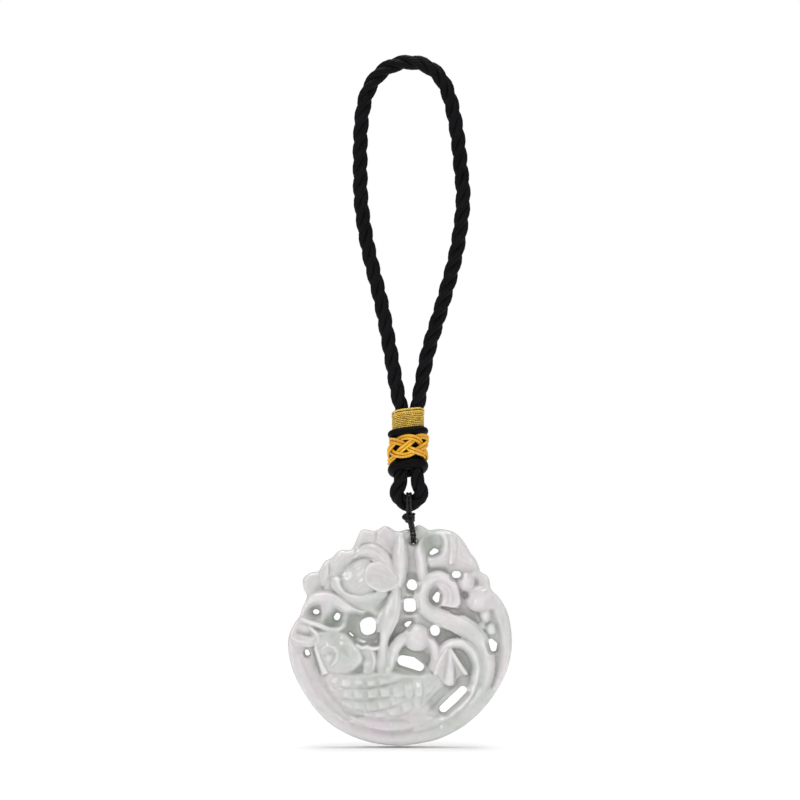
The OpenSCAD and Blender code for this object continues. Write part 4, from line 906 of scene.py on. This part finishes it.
panel([(11.8, -2.8, 3.2), (12.9, -3.2, 3.3), (14.6, -5.8, 2.8), (16.5, -9, 2.3), (15.2, -9.8, 1.9),
       (14, -10.8, 2.1), (13.4, -12.1, 2.9), (12, -12.4, 3.1), (10.8, -11.6, 3), (10.1, -10.4, 2.8),
       (9.2, -9.6, 2.9), (8.2, -8.9, 3), (9.2, -6.8, 3.1), (10.4, -4.4, 3.2)], 0.0, soft=0.15)
roll([(11.9, -3, 0.6, 3.4), (10.7, -5, 0.9, 3.6), (9.8, -7.2, 1, 3.6), (9.2, -9, 0.9, 3.4)], foot=0.6,
     soft=0.12, lean=-0.5)
roll([(12.4, -3.2, 0.6, 3.5), (12.5, -6.4, 0.9, 3.8), (12.4, -9, 1.2, 3.9), (12.2, -11, 1.3, 3.8)], foot=0.8,
     soft=0.12)
roll([(12.6, -3.4, 0.6, 3.6), (14, -5.8, 0.7, 3.7), (15.2, -7.6, 0.7, 3.5), (16.4, -9.2, 0.6, 3.1)], foot=0.8,
     soft=0.12, lean=0.4)
scribe(0.25, 0.25, [(11.7, -4.6), (11.6, -7), (11.1, -9), (10.4, -10.4)],
       [(13.6, -7.4), (13.8, -9), (13.8, -10.6)])
scribe(0.3, 0.3, [(8.2, -9.2), (9.4, -9.9), (10.2, -11), (11.2, -12.2), (12.4, -12.8), (13.8, -12.4)])
scribe(-0.1, 0.2, [(11.4, -3.6), (10.4, -5.4), (9.4, -7.8)], [(12, -5), (12.1, -8), (11.5, -10.4)])

# Polish: the creases are softened, and the edges of the outline and the holes are rounded
turns_x = np.fft.fftfreq(len(chart), chart_step)[:, None]
turns_z = np.fft.rfftfreq(len(chart), chart_step)[None, :]


def blurred(values, spread):
    """Gaussian blur of a value over the chart"""
    pass_by = np.exp(-2 * (math.pi * spread) ** 2 * (turns_x ** 2 + turns_z ** 2))
    return np.fft.irfft2(np.fft.rfft2(values) * pass_by, values.shape)


hand = np.random.default_rng(7).standard_normal(gx.shape)
ripple = 0.35 * blurred(hand, 0.7) + 0.06 * blurred(hand, 0.35)
crease_soft = 0.1
relief = blurred(relief, crease_soft) + ripple
uncut = relief
funnel_slope = 2.8
funnel_soft = 0.4
for level, corners in holes:
    gap = hole_gap(corners)
    form = level + funnel_slope * np.clip(gap, 0, 9) ** 1.1
    step_down = np.clip(0.5 + (relief - form) / (2 * funnel_soft), 0, 1)
    relief = relief + (form - relief) * step_down - funnel_soft * step_down * (1 - step_down)
    edge = np.minimum(edge, gap)
edge = np.minimum(edge, hole_gap(thread_hole))


def rounding(radius):
    """How far a rounded edge of a radius falls at each place"""
    return radius - np.sqrt(radius ** 2 - (radius - np.clip(edge, 0, radius)) ** 2)


highest = 4.3
front = np.minimum(relief, highest) - rounding(1.0)
back = disc_back - rounding(0.8)
# Painted shade and highlight: how far each place lies below its close and its wide surroundings, and how deep
# it lies
shade_level = 0.75 * np.minimum(uncut, highest) + 0.25 * front
shade_depth = blurred(shade_level, 1.0) - shade_level
wide_depth = blurred(shade_level, 2.6) - shade_level
floor_painted_shade = np.clip(1.2 - uncut, 0, 2)


def skin_of(field, low, step):
    """Quads on the zero surface of a field of samples that is positive inside the stone"""
    inside = field > 0
    cell = tuple(n - 1 for n in field.shape)
    count = np.zeros(cell, np.int8)
    corners = [(i, j, k) for i in (0, 1) for j in (0, 1) for k in (0, 1)]
    for i, j, k in corners:
        count += inside[i:i + cell[0], j:j + cell[1], k:k + cell[2]]
    cells = np.argwhere((count > 0) & (count < 8))
    total = np.zeros((len(cells), 3))
    hits = np.zeros(len(cells))
    for a in corners:
        for axis in range(3):
            if a[axis]:
                continue
            b = tuple(1 if n == axis else a[n] for n in range(3))
            fa = field[tuple((cells + a).T)]
            fb = field[tuple((cells + b).T)]
            cross = (fa > 0) != (fb > 0)
            t = np.where(cross, fa / np.where(cross, fa - fb, 1), 0)
            spot = np.array(a, float) + t[:, None] * (np.array(b) - a)
            total += spot * cross[:, None]
            hits += cross
    places = low + step * (cells + total / hits[:, None])
    number = np.full(cell, -1)
    number[tuple(cells.T)] = np.arange(len(cells))
    quads = []
    for axis in range(3):
        u, v = [n for n in range(3) if n != axis]
        here = np.take(inside, range(cell[axis]), axis)
        there = np.take(inside, range(1, cell[axis] + 1), axis)
        edges = np.argwhere(here != there)
        edges = edges[(edges[:, u] > 0) & (edges[:, v] > 0)
                      & (edges[:, u] < cell[u]) & (edges[:, v] < cell[v])]
        leaves = here[tuple(edges.T)]
        ring = []
        for du, dv in ((0, 0), (1, 0), (1, 1), (0, 1)):
            at = edges.copy()
            at[:, u] -= du
            at[:, v] -= dv
            ring.append(number[tuple(at.T)])
        ring = np.stack(ring, 1)
        turn = leaves if axis != 1 else ~leaves
        quads.append(np.where(turn[:, None], ring, ring[:, ::-1]))
    return places, np.concatenate(quads)


layer_step = 0.5
layers = np.arange(-4.75, 3.3, layer_step)
depth = layers[None, :, None]
stone = np.minimum(np.minimum(front[:, None, :] + depth, back[:, None, :] - depth), edge[:, None, :])
places, quads = skin_of(stone, np.array([chart[0], layers[0], chart[0]]),
                        np.array([chart_step, layer_step, chart_step]))
places[:, 0] += disc_centre[0]
places[:, 2] += disc_centre[1]
mesh = bpy.data.meshes.new("jade_disc_carving")
mesh.vertices.add(len(places))
mesh.vertices.foreach_set("co", (places * MM).ravel())
mesh.loops.add(4 * len(quads))
mesh.loops.foreach_set("vertex_index", quads.ravel().astype(np.int32))
mesh.polygons.add(len(quads))
mesh.polygons.foreach_set("loop_start", np.arange(0, 4 * len(quads), 4, dtype=np.int32))
mesh.update(calc_edges=True)
mesh.validate()
raw = bpy.data.objects.new("jade_disc_carving", mesh)
bpy.context.scene.collection.objects.link(raw)
thin = raw.modifiers.new("flat_back", "DECIMATE")
most_triangles = 185000
thin.ratio = min(1, most_triangles / (2 * len(quads)))
mesh = bpy.data.meshes.new_from_object(raw.evaluated_get(bpy.context.evaluated_depsgraph_get()))
bpy.data.objects.remove(raw)
jade_disc = bpy.data.objects.new("jade_disc_carved", mesh)
bpy.context.scene.collection.objects.link(jade_disc)
mesh.polygons.foreach_set("use_smooth", np.ones(len(mesh.polygons), bool))
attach(jade_disc, "disc")
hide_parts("jade_disc")

# Jade finish: pale lavender to grey-green stone, with painted shade that makes the recesses darker and
# greener, a painted highlight on the crests, faint clouds and veins in its depth, and a high polish over
# them.


def at_places(values, spots):
    """Values of the chart at places of the disc, between its samples"""
    u = np.clip((spots - chart[0]) / chart_step, 0, len(chart) - 1.001)
    i, j = u[:, 0].astype(int), u[:, 1].astype(int)
    s, t = u[:, 0] - i, u[:, 1] - j
    return ((values[i, j] * (1 - s) + values[i + 1, j] * s) * (1 - t)
            + (values[i, j + 1] * (1 - s) + values[i + 1, j + 1] * s) * t)


# Tints of the stone: (x, z, spread, how green below zero or lavender above it)
tints = [
    (-14, -3, 6, -0.7), (2, -12, 8, -1.2), (-8, -14, 6, -1), (-17, 3.2, 2.5, -1.4), (7, 23.5, 2.6, -1.5),
    (9, -15, 4.5, -0.7), (-9, 8, 3.5, -0.8), (14, -5, 3.5, -0.3), (-12, 18, 5, -0.5), (-23, 12, 3, -0.3),
    (16, 18, 5, 0.8), (20, 8, 6, 0.9), (-19, 10.2, 1.8, 1.8), (-5.5, -22, 3.2, 1.8), (-20, -15, 6, 0.9),
    (24, -8, 6, 0.7), (18, -18, 5, 0.5), (-1, 6, 4, 0.7), (-5, 15, 4, 0.5), (-4, 26, 4, 0.6),
    (0, -26, 7, 0.9), (0, 20, 3, 0.6), (4.5, 0.5, 3, 0.5), (12, 6, 5, 0.8), (8, 12, 5, 0.5),
    (12, 20, 4, 0.7), (5, 18, 3, 0.6), (20, -2, 4, 0.5), (17, -13, 4, 0.4)]
tint = np.zeros(gx.shape)
for x, z, spread, hue in tints:
    tint += hue * np.exp(-((gx - x) ** 2 + (gz - z) ** 2) / (2 * (0.6 * spread) ** 2))
coords = np.zeros(3 * len(mesh.vertices))
mesh.vertices.foreach_get("co", coords)
coords = coords.reshape(-1, 3) / MM
spots = coords[:, [0, 2]] - np.array(disc_centre)
plain_back, carved_front = 1.6, -0.4
facing = np.clip((plain_back - coords[:, 1]) / (plain_back - carved_front), 0, 1)
# The painted shade and highlight values go on the carved front only and fade out towards the back; the tint
# goes everywhere
for name, values in [("close_painted_shade_and_highlight", shade_depth), ("wide_painted_shade", wide_depth), ("tint", tint),
                     ("floor_painted_shade", floor_painted_shade)]:
    layer = mesh.attributes.new(name, "FLOAT", "POINT")
    layer.data.foreach_set("value", at_places(values, spots) * (facing if name != "tint" else 1))

jade = bpy.data.materials.new("jade_polished")
jade.use_nodes = True
tree = jade.node_tree
shader = tree.nodes["Principled BSDF"]
place = add_node(tree, "ShaderNodeTexCoord").outputs["Object"]


def figure(operation, *values):
    """The output of a math node on values or sockets"""
    return add_node(tree, "ShaderNodeMath", {"operation": operation},
                    **{f"i{k}": v for k, v in enumerate(values)}).outputs[0]


def clouds(scale, detail, rough=0.5):
    """Soft noise through the stone"""
    return add_node(tree, "ShaderNodeTexNoise", Vector=place, Scale=scale, Detail=detail,
                    Roughness=rough).outputs["Fac"]


def attribute(name):
    """A value stored on the disc's surface: the stone's tint, or painted shade and highlight worked out from
    the carving
    """
    return add_node(tree, "ShaderNodeAttribute", {"attribute_name": name}).outputs["Fac"]


def mix(factor, a, b, blend="MIX"):
    """One colour laid over another by a factor, each a socket or a given value"""
    node = add_node(tree, "ShaderNodeMix", {"data_type": "RGBA", "blend_type": blend})
    for socket, value in zip((node.inputs[0], node.inputs[6], node.inputs[7]), (factor, a, b)):
        if isinstance(value, bpy.types.NodeSocket):
            tree.links.new(value, socket)
        else:
            socket.default_value = value if isinstance(value, float) else (*value, 1)
    return node.outputs[2]


lean = figure("ADD", figure("MULTIPLY", attribute("tint"), 0.3),
              figure("MULTIPLY_ADD", clouds(90.0, 3.0), 1.6, -0.3))
body = ramp(tree, lean, [
    (0.0, (0.485, 0.505, 0.472)), (0.35, (0.565, 0.575, 0.555)), (0.6, (0.605, 0.59, 0.59)),
    (0.85, (0.63, 0.59, 0.605)), (1.0, (0.64, 0.575, 0.615))])
# Painted shade: the recesses are darkened towards a grey-green, more where they are deeper and wider
deep = figure("ADD", figure("MULTIPLY", attribute("close_painted_shade_and_highlight"), 0.45),
              figure("MULTIPLY_ADD", attribute("floor_painted_shade"), 0.35,
                     figure("MULTIPLY", attribute("wide_painted_shade"), 0.55)))
shadow = add_node(tree, "ShaderNodeMapRange", {"interpolation_type": "SMOOTHSTEP"}, Value=deep,
                  **{"From Min": 0.0, "From Max": 1.0, "To Min": 0.0, "To Max": 1.0}).outputs[0]
painted_shade_colour = ramp(tree, lean, [(0.2, (0.285, 0.31, 0.27)), (0.8, (0.305, 0.295, 0.295))])
shade_painted_body = mix(figure("MULTIPLY", shadow, 0.75), body, painted_shade_colour)
# Painted highlight: the crests, which stand above their surroundings, are lightened towards a pale near-white
crest = add_node(tree, "ShaderNodeMapRange", Value=attribute("close_painted_shade_and_highlight"),
                 **{"From Min": -0.1, "From Max": -0.6, "To Min": 0.0, "To Max": 0.5}).outputs[0]
lit = mix(crest, shade_painted_body, (0.80, 0.785, 0.80))
grain = clouds(700.0, 4.0, 0.65)
grain_colour = ramp(tree, grain, [(0.35, (0.5, 0.5, 0.48)), (0.7, (0.95, 0.95, 0.95))])
mottled = mix(0.23, lit, grain_colour, "SOFT_LIGHT")
tree.links.new(mottled, shader.inputs["Base Color"])
gloss = add_node(tree, "ShaderNodeMapRange", Value=clouds(260.0, 3.0),
                 **{"From Min": 0.3, "From Max": 0.7, "To Min": 0.08, "To Max": 0.15})
tree.links.new(gloss.outputs[0], shader.inputs["Roughness"])
bump = add_node(tree, "ShaderNodeBump", Strength=0.5, Distance=0.00004,
                Height=figure("ADD", clouds(420.0, 2.0), figure("MULTIPLY", clouds(1500.0, 2.0), 0.25)))
tree.links.new(bump.outputs[0], shader.inputs["Normal"])
shader.inputs["IOR"].default_value = 1.6
shader.inputs["Subsurface Weight"].default_value = 1.0
shader.inputs["Subsurface Radius"].default_value = (1.0, 1.0, 0.9)
shader.inputs["Subsurface Scale"].default_value = 0.0006
mesh.materials.append(jade)

# Floor and light
# A white table just under the disc, soft boxes at the left, the right and above, and bright air.
floor = bpy.data.objects.new("floor", bpy.data.meshes.new("floor"))
half_floor = 0.35
floor_gap = 0.4 * MM
floor_z = cad_box[0][2] - floor_gap
floor.data.from_pydata([(-half_floor, -half_floor, floor_z), (half_floor, -half_floor, floor_z),
                        (half_floor, half_floor, floor_z), (-half_floor, half_floor, floor_z)], [],
                       [(0, 1, 2, 3)])
bpy.context.scene.collection.objects.link(floor)
paper = bpy.data.materials.new("white_table")
paper.use_nodes = True
paper.node_tree.nodes["Principled BSDF"].inputs["Base Color"].default_value = (0.93, 0.93, 0.93, 1)
paper.node_tree.nodes["Principled BSDF"].inputs["Roughness"].default_value = 0.9
paper.node_tree.nodes["Principled BSDF"].inputs["Specular IOR Level"].default_value = 0.0
floor.data.materials.append(paper)


def soft_box(name, place, aim, size, watts):
    """An area light at a place that faces a point"""
    lamp = bpy.data.objects.new(name, bpy.data.lights.new(name, "AREA"))
    lamp.data.shape = "RECTANGLE"
    lamp.data.size, lamp.data.size_y = size
    lamp.data.energy = watts
    lamp.location = place
    away = [a - b for a, b in zip(place, aim)]
    level = math.hypot(away[0], away[1])
    lamp.rotation_euler = (math.atan2(level, away[2]), 0, math.atan2(away[0], -away[1]))
    bpy.context.scene.collection.objects.link(lamp)


aim = (view_centre[0], 0, -0.14)
soft_box("left_box", (-0.62, -0.75, 0.12), aim, (0.26, 0.3), 1.4)
soft_box("right_box", (0.62, -0.75, 0.1), aim, (0.5, 0.5), 1.2)
soft_box("left_gleam", (-0.3, -0.7, 0.3), aim, (0.1, 0.1), 0.3)
soft_box("right_gleam", (0.25, -0.8, 0.25), aim, (0.1, 0.1), 0.4)
soft_box("low_gleam", (-0.35, -0.85, -0.06), aim, (0.12, 0.12), 0.3)
soft_box("top_box", (0, 0.05, 0.9), aim, (0.9, 0.9), 9.0)

world = bpy.data.worlds.new("bright_air")
world.use_nodes = True
bpy.context.scene.world = world
tree = world.node_tree
background = tree.nodes["Background"]
seen = add_node(tree, "ShaderNodeLightPath").outputs["Is Camera Ray"]
air_light, air_seen = 0.5, 1.0
strength = add_node(tree, "ShaderNodeMapRange", Value=seen,
                    **{"From Min": 0.0, "From Max": 1.0, "To Min": air_light, "To Max": air_seen}).outputs[0]
background.inputs["Color"].default_value = (1, 1, 1, 1)
tree.links.new(strength, background.inputs["Strength"])
bpy.context.scene.view_settings.view_transform = "Standard"
